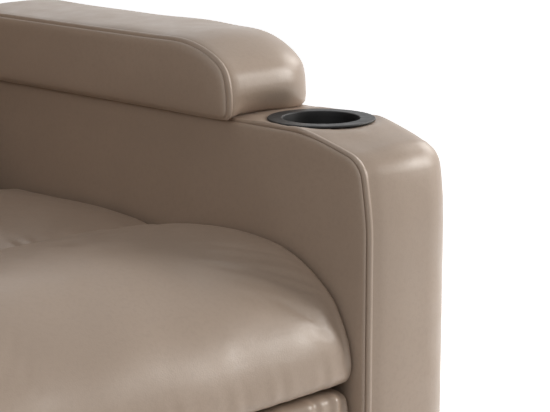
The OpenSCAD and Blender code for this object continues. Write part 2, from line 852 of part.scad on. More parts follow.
back_pad_seams = [0, 0.345, 0.648, 1];
back_pad_low = 34;
back_pad_top = back_h - 6;
function back_pad_z(i) = back_pad_low + (back_pad_top - back_pad_low) * back_pad_seams[i];
back_side_gap = 3;
pad_front = -strap_t - seam_gap - back_pad_t;
module back_cushion(i, swell) {
    h = back_pad_z(i + 1) - back_pad_z(i) - seam_gap;
    w = 2 * (arm_in - pad_overhang - back_side_gap);
    radii = [8, 36, 36, 8];
    end_r = 26;
    draw = 3;
    color(leather) back_place() translate([0, pad_front + back_pad_t / 2, back_pad_z(i) + h / 2])
        cushion(w, back_pad_t, h, radii, [0, swell, 0, 0], end_r, draw);
}

module lumbar_cushion() {
    back_cushion(0, 20);
}

module middle_cushion() {
    back_cushion(1, 16);
}

module head_cushion() {
    back_cushion(2, 20);
}

// Outer shell: rear skin, top, rounded foot about the hinge and two cheeks
shell_t = 14;
shell_x = cushion_w / 2;
shell_front = pad_front + back_pad_t + seam_gap;
foot_notch = 30;
foot_sweep = 100;
module back_shell() {
    r = back_rear;
    q = back_top_r;
    overrun = 40;
    outer = concat(arc([r - q, back_h - q], q, 0, 90, 8), [[shell_front, back_h], [shell_front, 0]],
        arc([0, 0], r, -foot_sweep, 0, 18));
    inner = concat(arc([r - q, back_h - q], q - shell_t, 0, 90, 8), [[-r, back_h - shell_t], [-r, 0]],
        arc([0, 0], r - shell_t, -foot_sweep - overrun, 0, 18));
    color(leather_dark) back_place() difference() {
        along_x(-shell_x, 2 * shell_x) polygon(outer);
        along_x(-shell_x + panel_t, 2 * (shell_x - panel_t)) polygon(inner);
        // clear space round the side plates at the foot
        both() block([layer(2), -r - cut, -r - cut], [shell_x + cut, foot_notch, 0]);
    }
}

// Release in the outer side of the right-hand arm, drawn on the left and mirrored
bezel_rim = 7;
module paddle_place() {
    translate([arm_out, -bezel_fwd, bezel_z]) children();
}

// Room in the outer panel for the bezel and its tub
module bezel_space() {
    w = bezel_w + 2 * seam_gap;
    h = bezel_h + 2 * seam_gap;
    tub_w = w - 2 * bezel_rim;
    tub_h = h - 2 * bezel_rim;
    paddle_place() {
        translate([-bezel_t - seam_gap, -w / 2, -h / 2]) cube([bezel_t + cut, w, h]);
        translate([-tub_depth - cut, -tub_w / 2, -tub_h / 2]) cube([tub_depth + cut, tub_w, tub_h]);
    }
}

module release_bezel() {
    w = bezel_w - 2 * bezel_rim;
    h = bezel_h - 2 * bezel_rim;
    in_w = w - 2 * tub_wall;
    in_h = h - 2 * tub_wall;
    color(black) right() paddle_place() difference() {
        union() {
            translate([-bezel_t, -bezel_w / 2, -bezel_h / 2]) cube([bezel_t, bezel_w, bezel_h]);
            translate([-tub_depth, -w / 2, -h / 2]) cube([tub_depth - bezel_t / 2, w, h]);
        }
        translate([-tub_depth + tub_wall, -in_w / 2, -in_h / 2]) cube([tub_depth + cut, in_w, in_h]);
        translate([-paddle_back, -bezel_w, -paddle_half]) rotate([-90, 0, 0])
            cylinder(r = paddle_pin_r + eps, h = 2 * bezel_w, $fn = 32);
        translate([-tub_depth - cut, 0, -paddle_half + cable_rise]) rotate([0, 90, 0])
            cylinder(r = cable_r + tight, h = tub_wall + cut + eps, $fn = 32);
    }
}
paddle_back = 12;
paddle_half = 28;
cable_r = 2.5;
cable_rise = 12;

module release_paddle() {
    side_gap = 2;
    w = bezel_w - 2 * (bezel_rim + tub_wall + side_gap);
    t = 7;
    tall = 40;
    color(black) right() paddle_place() translate([-paddle_back, 0, -paddle_half]) difference() {
        union() {
            translate([-t / 2, -w / 2, 0]) cube([t, w, tall]);
            translate([0, w / 2, tall]) rotate([90, 0, 0]) cylinder(r = t / 2, h = w, $fn = 32);
            translate([0, w / 2, 0]) rotate([90, 0, 0]) cylinder(r = t / 2, h = w, $fn = 32);
        }
        translate([0, w, 0]) rotate([90, 0, 0]) cylinder(r = paddle_pin_r + eps, h = 2 * w, $fn = 32);
        // pocket for the spring round the pin
        translate([-t, -spring_pocket / 2, -t]) cube([2 * t, spring_pocket, 2 * t]);
    }
}
spring_pocket = 16;

module paddle_pin() {
    len = bezel_w - 2 * bezel_rim;
    color(bright) right() paddle_place() translate([-paddle_back, -len / 2, -paddle_half])
        rotate([-90, 0, 0]) cylinder(r = paddle_pin_r, h = len, $fn = 32);
}

module paddle_spring() {
    wire = 0.6;
    turns = 4;
    span = spring_pocket - 2 * spring_end_gap;
    color(bright) right() paddle_place() translate([-paddle_back, -span / 2, -paddle_half])
        rotate([-90, 0, 0]) coil(paddle_pin_r + tight, wire, span, turns);
}
spring_end_gap = 3;

// The cable's route from the tub through the arm's inner panel to the trip lever, mirrored.
// Across, each point is a share of the way from the panel to the tub, or from the lever to the panel.
cable_tub_shares = [1, 0.93, 0.85, 0.75, 0.64, 0.52, 0.38, 0.24, 0.11, 0];
cable_lever_shares = [0.825, 0.667, 0.492, 0.317, 0.159, 0];
cable_yz = [[-140, 394], [-140, 393], [-140, 389], [-141, 380], [-142, 368], [-143, 355],
    [-144, 341], [-145, 326], [-147, 312], [-149, 299], [-151, 287], [-153, 278],
    [-155, 271], [-157, 267], [-160, 264], [-162, 263]];
cable_end_gap = 1;
cable_panel_x = arm_in + panel_t / 2 - cable_end_gap;
cable_lever_x = layer(5) + link_t + cable_end_gap;
cable_x = concat(
    [for (s = cable_tub_shares) cable_panel_x + s * (arm_out - tub_depth - cable_panel_x)],
    [for (s = cable_lever_shares) cable_lever_x + s * (cable_panel_x - cable_lever_x)]);
cable_hole = [149, 300];
cable_hole_r = 12;
module release_cable() {
    path = [for (i = [0:len(cable_x) - 1]) [cable_x[i], cable_yz[i][0], cable_yz[i][1]]];
    color(black) right() swept(path, cable_r, 8);
}

// Trip lever beside the rim of the drive tube's sector
module trip_lever() {
    w = 14;
    cable_end = [32, -6];
    shoe_a = 80;
    arm = trip_pivot - cable_end;
    shoe = t_pivot + (sector_r + w / 2 + eye_extra + foam_gap) * dir(shoe_a);
    right() bar([arm, trip_pivot, shoe], w, 5, [[trip_pivot, run_r]]);
}

module trip_lever_pin() {
    color(bright) right() {
        rod(trip_pivot, pivot_r, layer(5) - rivet_head_t, plate_x + link_t + rivet_head_t);
        rod(trip_pivot, rivet_head_r, layer(5) - rivet_head_t, layer(5) - eps);
        rod(trip_pivot, rivet_head_r, plate_x + link_t + eps, plate_x + link_t + rivet_head_t);
        rod(trip_pivot, rivet_head_r, layer(5) + link_t + tight, plate_x - tight);
    }
}

base_frame();
side_plate();  // side_plate_left
right() side_plate();  // side_plate_right
seat_box();
seat_straps();
seat_rear_cushion();
seat_front_roll();
arm_frame();  // arm_frame_left
right() arm_frame();  // arm_frame_right
arm_inner_panel();  // arm_inner_panel_left
right() arm_inner_panel(cable = true);  // arm_inner_panel_right
arm_outer_panel();  // arm_outer_panel_left
right() arm_outer_panel(release = true);  // arm_outer_panel_right
arm_band();  // arm_band_left
right() arm_band();  // arm_band_right
arm_pad();  // arm_pad_left
right() arm_pad();  // arm_pad_right
cup_holder();  // cup_holder_left
right() cup_holder();  // cup_holder_right
arm_feet();
arm_spacers();
arm_bolts();
rear_apron();
plate_rivets();
tube_bushes();
drive_springs();
drive_tube();
crank_rivets();
drive_links();
rear_link();  // rear_link_left
right() rear_link();  // rear_link_right
rear_link_rivets();
cross_link();  // cross_link_left
right() cross_link();  // cross_link_right
cross_link_rivets();
rocker_links();
front_link();  // front_link_left
right() front_link();  // front_link_right
footrest_bracket();  // footrest_bracket_left
right() footrest_bracket();  // footrest_bracket_right
bracket_rivets();
footrest_board();
footrest_screws();
footrest_pad();
back_frame();
back_hinge();  // back_hinge_left
right() back_hinge();  // back_hinge_right
back_hinge_screws();
back_straps();
lumbar_cushion();
middle_cushion();
head_cushion();
back_shell();
release_bezel();
release_paddle();
paddle_pin();
paddle_spring();
release_cable();
trip_lever();
trip_lever_pin();
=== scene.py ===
import bpy
import bmesh
import json
import math
import numpy as np
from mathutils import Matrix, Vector


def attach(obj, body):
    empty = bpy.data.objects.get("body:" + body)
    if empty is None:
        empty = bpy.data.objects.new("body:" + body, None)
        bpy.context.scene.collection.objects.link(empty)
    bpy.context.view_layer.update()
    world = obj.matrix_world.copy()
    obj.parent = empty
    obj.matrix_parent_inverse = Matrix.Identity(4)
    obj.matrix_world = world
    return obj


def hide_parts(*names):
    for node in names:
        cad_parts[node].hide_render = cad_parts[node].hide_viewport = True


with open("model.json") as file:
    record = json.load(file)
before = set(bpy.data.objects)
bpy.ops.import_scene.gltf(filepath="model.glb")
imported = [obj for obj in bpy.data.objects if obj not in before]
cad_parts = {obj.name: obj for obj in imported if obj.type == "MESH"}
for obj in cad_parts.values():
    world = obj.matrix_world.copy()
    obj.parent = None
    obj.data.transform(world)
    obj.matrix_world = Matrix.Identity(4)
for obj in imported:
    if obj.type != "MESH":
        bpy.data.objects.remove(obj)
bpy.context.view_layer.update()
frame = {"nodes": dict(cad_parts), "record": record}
scene = bpy.context.scene
nodes = frame["nodes"]

# The script's sizes are in mm, Blender's in m
MM = 0.001
# Points nearer than this, in m, are one: in a new mesh and after a cut
MERGE, MERGE_CUT = 2e-6, 2e-5

# Small maths


def smooth(a, b, x):
    t = np.clip((np.asarray(x, float) - a) / (b - a), 0, 1)
    return t * t * (3 - 2 * t)


def waves(p, length, seed, count=7):
    """Smooth, repeatable unevenness of about +-1 whose humps are `length` mm apart."""
    rng = np.random.default_rng(seed)
    p = np.asarray(p, float)
    total = np.zeros(p.shape[:-1])
    for _ in range(count):
        d = rng.normal(size=p.shape[-1])
        d /= np.linalg.norm(d)
        k = 2 * math.pi / (length * rng.uniform(0.7, 1.5))
        total += np.sin(p @ d * k + rng.uniform(0, 2 * math.pi))
    return total / math.sqrt(count)


def spline(points, n, closed=False):
    """n points evenly spaced along a smooth curve through points."""
    p = np.asarray(points, float)
    if closed:
        p = np.vstack([p[-1:], p, p[:2]])
    else:
        p = np.vstack([2 * p[0] - p[1], p, 2 * p[-1] - p[-2]])
    out = []
    for i in range(1, len(p) - 2):
        a, b, c, d = p[i - 1:i + 3]
        ta = 0.0
        tb = ta + max(np.linalg.norm(b - a), 1e-6) ** 0.5
        tc = tb + max(np.linalg.norm(c - b), 1e-6) ** 0.5
        td = tc + max(np.linalg.norm(d - c), 1e-6) ** 0.5
        t = np.linspace(tb, tc, 24, endpoint=False)[:, None]
        a1 = (tb - t) / (tb - ta) * a + (t - ta) / (tb - ta) * b
        a2 = (tc - t) / (tc - tb) * b + (t - tb) / (tc - tb) * c
        a3 = (td - t) / (td - tc) * c + (t - tc) / (td - tc) * d
        b1 = (tc - t) / (tc - ta) * a1 + (t - ta) / (tc - ta) * a2
        b2 = (td - t) / (td - tb) * a2 + (t - tb) / (td - tb) * a3
        out.append((tc - t) / (tc - tb) * b1 + (t - tb) / (tc - tb) * b2)
    q = np.vstack(out)
    if not closed:
        q = np.vstack([q, p[-2]])
    else:
        q = np.vstack([q, q[:1]])
    s = np.concatenate([[0], np.cumsum(np.linalg.norm(np.diff(q, axis=0), axis=1))])
    at = np.linspace(0, s[-1], n + 1)[:-1] if closed else np.linspace(0, s[-1], n)
    return np.stack([np.interp(at, s, q[:, k]) for k in range(q.shape[1])], 1)


def ring_normals(p):
    """Outward normals of closed counter-clockwise rings (..., n, 2)."""
    d = np.roll(p, -1, axis=-2) - np.roll(p, 1, axis=-2)
    n = np.stack([d[..., 1], -d[..., 0]], -1)
    return n / np.maximum(np.linalg.norm(n, axis=-1, keepdims=True), 1e-9)


def outward_normals(p):
    """Outward normals of one closed ring (n, 2) that may run either way round."""
    area = np.sum(p[:, 0] * np.roll(p[:, 1], -1) - np.roll(p[:, 0], -1) * p[:, 1])
    return ring_normals(p) * (-1.0 if area < 0 else 1.0)


# Meshes


def quads(nu, nv):
    """Faces between nu closed rings of nv points."""
    f = []
    for i in range(nu - 1):
        for j in range(nv):
            j2 = (j + 1) % nv
            f.append((i * nv + j, (i + 1) * nv + j, (i + 1) * nv + j2, i * nv + j2))
    return f


def end_caps(nu, nv):
    """The faces that close the first and the last of nu rings of nv points."""
    return [tuple(range(nv)), tuple((nu - 1) * nv + k for k in range(nv - 1, -1, -1))]


def outward(me, merge=MERGE):
    """Merges double points and turns the faces of a closed mesh outward."""
    bm = bmesh.new()
    bm.from_mesh(me)
    bmesh.ops.remove_doubles(bm, verts=bm.verts, dist=merge)
    bmesh.ops.recalc_face_normals(bm, faces=bm.faces)
    if bm.calc_volume(signed=True) < 0:
        bmesh.ops.reverse_faces(bm, faces=bm.faces)
    bm.to_mesh(me)
    bm.free()


def add(name, verts, faces, mat, body, stands_for, mirror=False):
    """A padded piece from points in mm, riding on body in place of the nodes that it stands for."""
    verts = np.asarray(verts, float).reshape(-1, 3) * MM
    if mirror:
        verts = verts * [-1, 1, 1]
    me = bpy.data.meshes.new(name)
    me.from_pydata(verts.tolist(), [], [list(f) for f in faces])
    outward(me)
    me.validate()
    for p in me.polygons:
        p.use_smooth = True
    me.materials.append(mat)
    o = bpy.data.objects.new(name, me)
    scene.collection.objects.link(o)
    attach(o, body)
    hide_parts(*stands_for)
    return o


def cut(obj, cutter):
    """Cuts a closed tool out of obj and drops the tool."""
    m = obj.modifiers.new("cut", "BOOLEAN")
    m.operation = "DIFFERENCE"
    m.solver = "EXACT"
    m.use_self = True
    m.object = cutter
    bpy.context.view_layer.update()
    dg = bpy.context.evaluated_depsgraph_get()
    me = bpy.data.meshes.new_from_object(obj.evaluated_get(dg))
    obj.modifiers.clear()
    old = obj.data
    obj.data = me
    outward(me, MERGE_CUT)
    bpy.data.meshes.remove(old)
    bpy.data.objects.remove(cutter)
    for p in obj.data.polygons:
        p.use_smooth = True


def tool(verts, faces):
    """A closed scratch object from points in mm, for a cut or for stuffing."""
    me = bpy.data.meshes.new("tool")
    me.from_pydata((np.asarray(verts, float) * MM).tolist(), [], faces)
    outward(me)
    o = bpy.data.objects.new("tool", me)
    scene.collection.objects.link(o)
    return o


def box_tool(lo, hi, place=np.asarray):
    """A box between two corners, its points moved by place."""
    v = [(x, y, z) for x in (lo[0], hi[0]) for y in (lo[1], hi[1]) for z in (lo[2], hi[2])]
    sides = [(0, 1, 3, 2), (4, 6, 7, 5), (0, 4, 5, 1), (2, 3, 7, 6), (0, 2, 6, 4), (1, 5, 7, 3)]
    return tool(place(v), sides)


def drum_tool(x, y, z0, z1, r, n=72):
    """An upright cylinder."""
    a = 2 * math.pi * np.arange(n) / n
    v = np.vstack([np.column_stack([x + r * np.cos(a), y + r * np.sin(a), np.full(n, z)]) for z in (z0, z1)])
    f = [tuple(range(n)), tuple(range(2 * n - 1, n - 1, -1))]
    f += [(i, (i + 1) % n, n + (i + 1) % n, n + i) for i in range(n)]
    return tool(v, f)


# Stuffing


def mesh_arrays(me):
    v = np.empty(len(me.vertices) * 3)
    me.vertices.foreach_get("co", v)
    n = np.empty(len(me.vertices) * 3)
    me.vertices.foreach_get("normal", n)
    return v.reshape(-1, 3), n.reshape(-1, 3)


def applied(o):
    """The mesh of o with its modifiers applied, which are then removed."""
    bpy.context.view_layer.update()
    me = bpy.data.meshes.new_from_object(o.evaluated_get(bpy.context.evaluated_depsgraph_get()))
    o.modifiers.clear()
    old = o.data
    o.data = me
    bpy.data.meshes.remove(old)
    return me


def near_ends(q, half, reach=9.0):
    """1 at the ends of a form that reaches half to each side along X."""
    return smooth(half - reach, half - reach / 3, np.abs(q[:, 0]))


# The cloth runs for this many frames under this pressure, and is this stiff
CLOTH_FRAMES, CLOTH_PRESSURE = 20, 4.0
STRETCH_STIFF, SHEAR_STIFF, BEND_STIFF = 15, 5, 0.5
CLOTH_MASS = 0.3
LEAST_PIN = 0.01


def stuffed(v, f, cap, shrink, held, voxel=6.0):
    """Blows a closed form up as cloth under pressure and gives back its points and faces in mm.

    It starts smaller by shrink, no point moves more than cap, and held(points) is 1 where it can't move."""
    o = tool(np.asarray(v, float).reshape(-1, 3), [list(x) for x in f])
    grid = o.modifiers.new("voxels", "REMESH")
    grid.mode = "VOXEL"
    grid.voxel_size = voxel * MM
    me = applied(o)
    full, n = mesh_arrays(me)
    fixed = np.clip(held(full / MM), 0, 1)
    start = full - n * (shrink * MM * (1 - fixed))[:, None]
    me.vertices.foreach_set("co", start.ravel())
    me.update()
    pins = o.vertex_groups.new(name="pins")
    for i, w in enumerate(fixed):
        if w > LEAST_PIN:
            pins.add([i], float(w), "REPLACE")
    cloth = o.modifiers.new("cloth", "CLOTH")
    c = cloth.settings
    c.quality = 5
    c.mass = CLOTH_MASS
    c.tension_stiffness = STRETCH_STIFF
    c.compression_stiffness = STRETCH_STIFF
    c.shear_stiffness = SHEAR_STIFF
    c.bending_stiffness = BEND_STIFF
    c.use_pressure = True
    c.uniform_pressure_force = CLOTH_PRESSURE
    c.effector_weights.gravity = 0
    c.vertex_group_mass = "pins"
    c.pin_stiffness = 1
    cloth.point_cache.frame_start = 1
    cloth.point_cache.frame_end = CLOTH_FRAMES
    for k in range(1, CLOTH_FRAMES + 1):
        scene.frame_set(k)
    end, _ = mesh_arrays(o.evaluated_get(bpy.context.evaluated_depsgraph_get()).data)
    move = end - start
    far = np.linalg.norm(move, axis=1) / MM
    soft = cap * np.tanh(far / cap) / np.maximum(far, 1e-9)
    o.modifiers.clear()
    scene.frame_set(1)
    me = o.data
    me.vertices.foreach_set("co", (start + move * soft[:, None]).ravel())
    me.update()
    finer = o.modifiers.new("finer", "SUBSURF")
    finer.levels = 1
    finer.render_levels = 1
    me = applied(o)
    out, _ = mesh_arrays(me)
    faces = [tuple(p.vertices) for p in me.polygons]
    bpy.data.objects.remove(o)
    bpy.data.meshes.remove(me)
    return out / MM, faces


# Materials


class Nodes:
    """A material and short ways to add shader nodes to it, fed by the object's own coordinates."""

    def __init__(self, name):
        self.mat = bpy.data.materials.new(name)
        self.mat.use_nodes = True
        self.t = self.mat.node_tree
        self.shader = self.t.nodes["Principled BSDF"]
        self.coord = self.new("ShaderNodeTexCoord").outputs["Object"]

    def new(self, kind, **values):
        n = self.t.nodes.new(kind)
        for k, v in values.items():
            if k in n.inputs:
                n.inputs[k].default_value = v
            else:
                setattr(n, k, v)
        return n

    def link(self, a, b):
        self.t.links.new(a, b)

    def noise(self, scale, detail=3.0, rough=0.5, coord=None):
        n = self.new("ShaderNodeTexNoise")
        n.inputs["Scale"].default_value = scale
        n.inputs["Detail"].default_value = detail
        n.inputs["Roughness"].default_value = rough
        self.link(coord or self.coord, n.inputs["Vector"])
        return n.outputs["Fac"]

    def cells(self, scale):
        n = self.new("ShaderNodeTexVoronoi")
        n.inputs["Scale"].default_value = scale
        self.link(self.coord, n.inputs["Vector"])
        return n.outputs["Distance"]

    def ramp(self, value, stops):
        """A colour ramp through (position, colour) stops."""
        n = self.new("ShaderNodeValToRGB")
        e = n.color_ramp.elements
        while len(e) < len(stops):
            e.new(0.5)
        for el, (pos, col) in zip(e, stops):
            el.position = pos
            el.color = (*col, 1)
        self.link(value, n.inputs["Fac"])
        return n.outputs["Color"]

    def mix(self, fac, a, b, mode="MIX"):
        """Colour a turned into b by fac; each may be a socket or a value."""
        n = self.new("ShaderNodeMix", data_type="RGBA", blend_type=mode)
        for sock, v in ((n.inputs["Factor"], fac), (n.inputs[6], a), (n.inputs[7], b)):
            if isinstance(v, bpy.types.NodeSocket):
                self.link(v, sock)
            elif isinstance(v, (int, float)):
                sock.default_value = v
            else:
                sock.default_value = (*v, 1)
        return n.outputs[2]

    def scalar(self, value, lo, hi, a=0.0, b=1.0):
        """A value's range a to b mapped to lo to hi."""
        n = self.new("ShaderNodeMapRange")
        n.inputs["From Min"].default_value = a
        n.inputs["From Max"].default_value = b
        n.inputs["To Min"].default_value = lo
        n.inputs["To Max"].default_value = hi
        self.link(value, n.inputs["Value"])
        return n.outputs["Result"]

    def bump(self, height, strength, distance, after=None):
        n = self.new("ShaderNodeBump")
        n.inputs["Strength"].default_value = strength
        n.inputs["Distance"].default_value = distance
        self.link(height, n.inputs["Height"])
        if after is not None:
            self.link(after, n.inputs["Normal"])
        return n.outputs["Normal"]

    def done(self, color, rough, normal=None, **values):
        s = self.shader
        if isinstance(color, bpy.types.NodeSocket):
            self.link(color, s.inputs["Base Color"])
        else:
            s.inputs["Base Color"].default_value = (*color, 1)
        if isinstance(rough, bpy.types.NodeSocket):
            self.link(rough, s.inputs["Roughness"])
        else:
            s.inputs["Roughness"].default_value = rough
        if normal is not None:
            self.link(normal, s.inputs["Normal"])
        for k, v in values.items():
            s.inputs[k.replace("_", " ")].default_value = v
        return self.mat


def leather(name, base, rough=0.42, wave=0.0016):
    """Smooth coated leather: fine pebble grain, soft slack, faint mottling, worn high spots and painted shade
    darkening its creases and seams.
    """
    m = Nodes(name)
    base = np.array(base)
    broad = m.noise(7.0, 2.0)
    fine = m.noise(240.0, 3.0)
    col = m.mix(m.scalar(broad, 0.0, 1.0, 0.3, 0.7), tuple(base * 0.95), tuple(base * 1.04))
    col = m.mix(m.scalar(fine, 0.0, 0.35, 0.45, 0.7), col, tuple(base * 0.88))
    point = m.new("ShaderNodeNewGeometry").outputs["Pointiness"]
    worn = m.ramp(point, [(0.53, (0, 0, 0)), (0.58, (1, 1, 1))])
    col = m.mix(m.scalar(worn, 0.0, 0.30), col, tuple(np.minimum(base * 1.16, 0.9)))
    # painted shade: the leather is darkened where pointiness finds a crease or hollow, as if shade fell there
    crease_shade = m.ramp(point, [(0.40, (1, 1, 1)), (0.475, (0, 0, 0))])
    col = m.mix(m.scalar(crease_shade, 0.0, 0.38), col, tuple(base * 0.46))
    grain = m.cells(620.0)
    pores = m.cells(1500.0)
    slack = m.noise(16.0, 2.0, 0.4)
    normal = m.bump(slack, 0.5, wave)
    normal = m.bump(grain, 0.22, 0.00022, normal)
    normal = m.bump(pores, 0.12, 0.0001, normal)
    r = m.scalar(m.noise(38.0, 3.0), rough - 0.05, rough + 0.07, 0.3, 0.7)
    return m.done(col, r, normal, Specular_IOR_Level=0.5, Sheen_Weight=0.04, Sheen_Roughness=0.4)


def plastic(name, base, rough=0.36, grain=900.0):
    """Moulded plastic with a fine grain and faint scuffs."""
    m = Nodes(name)
    base = np.array(base)
    blotches = m.scalar(m.noise(30.0, 3.0), 0.0, 1.0, 0.35, 0.65)
    col = m.mix(blotches, tuple(base * 0.85), tuple(base * 1.2))
    normal = m.bump(m.noise(grain, 2.0), 0.12, 0.0001)
    scuffs = m.noise(110.0, 5.0, 0.7)
    r = m.scalar(scuffs, rough - 0.05, rough + 0.10, 0.35, 0.7)
    return m.done(col, r, normal)


def cup_plastic(name, low, high):
    """Moulded black plastic, matt, painted darker inside as shade in its well, and its own colour on the
    flange at the top.
    """
    m = Nodes(name)
    split = m.new("ShaderNodeSeparateXYZ")
    m.link(m.coord, split.inputs["Vector"])
    out_of_well_shade = m.scalar(split.outputs["Z"], 0.0, 1.0, low, high)
    # painted shade: below the flange the plastic is darkened as if shade filled the well
    col = m.mix(out_of_well_shade, (0.007, 0.007, 0.0072), (0.030, 0.030, 0.031))
    col = m.mix(m.scalar(m.noise(34.0, 4.0), 0.0, 0.4, 0.4, 0.65), col, (0.012, 0.012, 0.012))
    normal = m.bump(m.noise(900.0, 2.0), 0.12, 0.0001)
    r = m.scalar(m.noise(110.0, 5.0, 0.7), 0.42, 0.56, 0.35, 0.7)
    return m.done(col, r, normal, Specular_IOR_Level=0.28)


def coated_steel(name, base, rough=0.45):
    """Powder coat that has worn a little lighter at its edges."""
    m = Nodes(name)
    base = np.array(base)
    blotches = m.scalar(m.noise(22.0, 4.0), 0.0, 1.0, 0.35, 0.65)
    col = m.mix(blotches, tuple(base * 0.8), tuple(base * 1.25))
    point = m.new("ShaderNodeNewGeometry").outputs["Pointiness"]
    edge = m.ramp(point, [(0.54, (0, 0, 0)), (0.62, (1, 1, 1))])
    col = m.mix(m.scalar(edge, 0.0, 0.35), col, (0.22, 0.22, 0.22))
    normal = m.bump(m.noise(700.0, 2.0), 0.15, 0.00012)
    r = m.scalar(m.noise(60.0, 4.0), rough - 0.06, rough + 0.12, 0.35, 0.65)
    return m.done(col, r, normal, Metallic=0.15)


def bare_steel(name, base, rough=0.32):
    """Zinc-plated steel."""
    m = Nodes(name)
    base = np.array(base)
    blotches = m.scalar(m.noise(90.0, 4.0), 0.0, 1.0, 0.35, 0.65)
    col = m.mix(blotches, tuple(base * 0.85), tuple(base * 1.08))
    normal = m.bump(m.noise(500.0, 2.0), 0.1, 0.0001)
    r = m.scalar(m.noise(45.0, 4.0), rough - 0.07, rough + 0.12, 0.35, 0.65)
    return m.done(col, r, normal, Metallic=1.0)


def plywood(name):
    """Streaked face grain with the bands of the plies."""
    m = Nodes(name)
    stretched = m.new("ShaderNodeMapping")
    stretched.inputs["Scale"].default_value = (40.0, 4.0, 4.0)
    m.link(m.coord, stretched.inputs["Vector"])
    streak = m.noise(3.0, 6.0, 0.65, stretched.outputs["Vector"])
    col = m.ramp(streak, [(0.3, (0.34, 0.21, 0.10)), (0.5, (0.56, 0.39, 0.22)), (0.72, (0.68, 0.51, 0.32))])
    ply = m.new("ShaderNodeTexWave", wave_type="BANDS", bands_direction="Z")
    ply.inputs["Scale"].default_value = 90.0
    ply.inputs["Distortion"].default_value = 0.6
    m.link(m.coord, ply.inputs["Vector"])
    col = m.mix(m.scalar(ply.outputs["Fac"], 0.0, 0.22), col, (0.40, 0.26, 0.13))
    normal = m.bump(streak, 0.3, 0.0004)
    return m.done(col, m.scalar(streak, 0.55, 0.75), normal)


def webbing(name, base):
    """Woven elastic webbing: two sets of fine bands, one across the other."""
    m = Nodes(name)
    bands = []
    for direction, scale in (("X", 160.0), ("DIAGONAL", 110.0)):
        w = m.new("ShaderNodeTexWave", wave_type="BANDS", bands_direction=direction)
        w.inputs["Scale"].default_value = scale
        m.link(m.coord, w.inputs["Vector"])
        bands.append(w.outputs["Color"])
    weave = m.mix(0.5, *bands, "MULTIPLY")
    base = np.array(base)
    col = m.mix(weave, tuple(base * 0.6), tuple(base * 1.5))
    normal = m.bump(weave, 0.6, 0.0004)
    return m.done(col, m.scalar(m.noise(200.0), 0.7, 0.9), normal)


BEIGE = (0.43, 0.332, 0.26)
# Heights in m between which the cup holder's plastic turns from the painted shade of its well to the flange's
# own colour
CUP_WELL_SHADE_Z, CUP_SHADE_END_Z = 0.5735, 0.5785
hide = leather("beige_leather", BEIGE, 0.36)
# The panels' leather is the same hide made rougher and 3% darker; the darker tint is painted shade for the
# arms' inner sides, which face away from the lamps
hide_panel = leather("beige_leather_panel", tuple(np.array(BEIGE) * 0.97), 0.43, 0.0022)
black = plastic("black_plastic", (0.022, 0.022, 0.023))
cup_black = cup_plastic("cup_plastic", CUP_WELL_SHADE_Z, CUP_SHADE_END_Z)
steel = coated_steel("black_steel", (0.035, 0.035, 0.037))
zinc = bare_steel("zinc_steel", (0.55, 0.55, 0.56))
ply = plywood("plywood")
web = webbing("elastic_webbing", (0.05, 0.05, 0.05))
sheath = plastic("cable_sheath", (0.035, 0.035, 0.035), 0.5, 400.0)
by_slot = {
    "leather": hide, "panel_leather": hide_panel, "black_plastic": black, "painted_steel": steel,
    "zinc_steel": zinc, "timber": ply, "webbing": web, "cable_sheath": sheath,
}
for part in frame["record"]["subparts"]:
    o = nodes[part["node"]]
    o.data.materials.clear()
    o.data.materials.append(cup_black if "cup_holder" in part["node"] else by_slot[part["material_slot"]])

# Arm outline

# Seen from the side: the arm's front, rear, top and foot, its outer face, and its upper rear corner
ARM_FRONT, ARM_REAR, ARM_TOP, ARM_FOOT = -457.0, 305.0, 577.0, 35.0
ARM_OUT = 409.0
CORNER = 14.0
# The top droops towards the front, turns over the nose and runs down the face: three radii and two angles
DROOP_R, NOSE_R, FACE_R = 300.0, 33.0, 350.0
DROOP_A, NOSE_A = math.radians(15), math.radians(80)
RUN = (DROOP_R * math.sin(DROOP_A) + NOSE_R * (math.sin(NOSE_A) - math.sin(DROOP_A))
       + FACE_R * (1 - math.sin(NOSE_A)))
# Insets over which the drawn-in nose turns from an arc into a free curve
FREE_FROM, FREE_OVER = 27.0, 18.0
# How far the inner seam sinks in over the bend
SEAM_SINK = 4.0


def up(a):
    """The unit vector that leans forward from upright by a."""
    return np.array([-math.sin(a), math.cos(a)])


DROOP_C = np.array([ARM_FRONT + RUN, ARM_TOP - DROOP_R])
NOSE_C = DROOP_C + (DROOP_R - NOSE_R) * up(DROOP_A)
FACE_C = NOSE_C + (NOSE_R - FACE_R) * up(NOSE_A)


def steps(kind, first, last, parts):
    return [(kind, k / parts) for k in range(first, last)]


ROWS = (steps("rear", 0, 12, 12) + steps("corner", 0, 5, 5) + steps("top", 1, 72, 72)
        + steps("droop", 0, 12, 12) + steps("nose", 0, 12, 12) + steps("face", 0, 6, 6)
        + steps("front", 0, 27, 26))
UNDER = steps("under", 1, 30, 30)


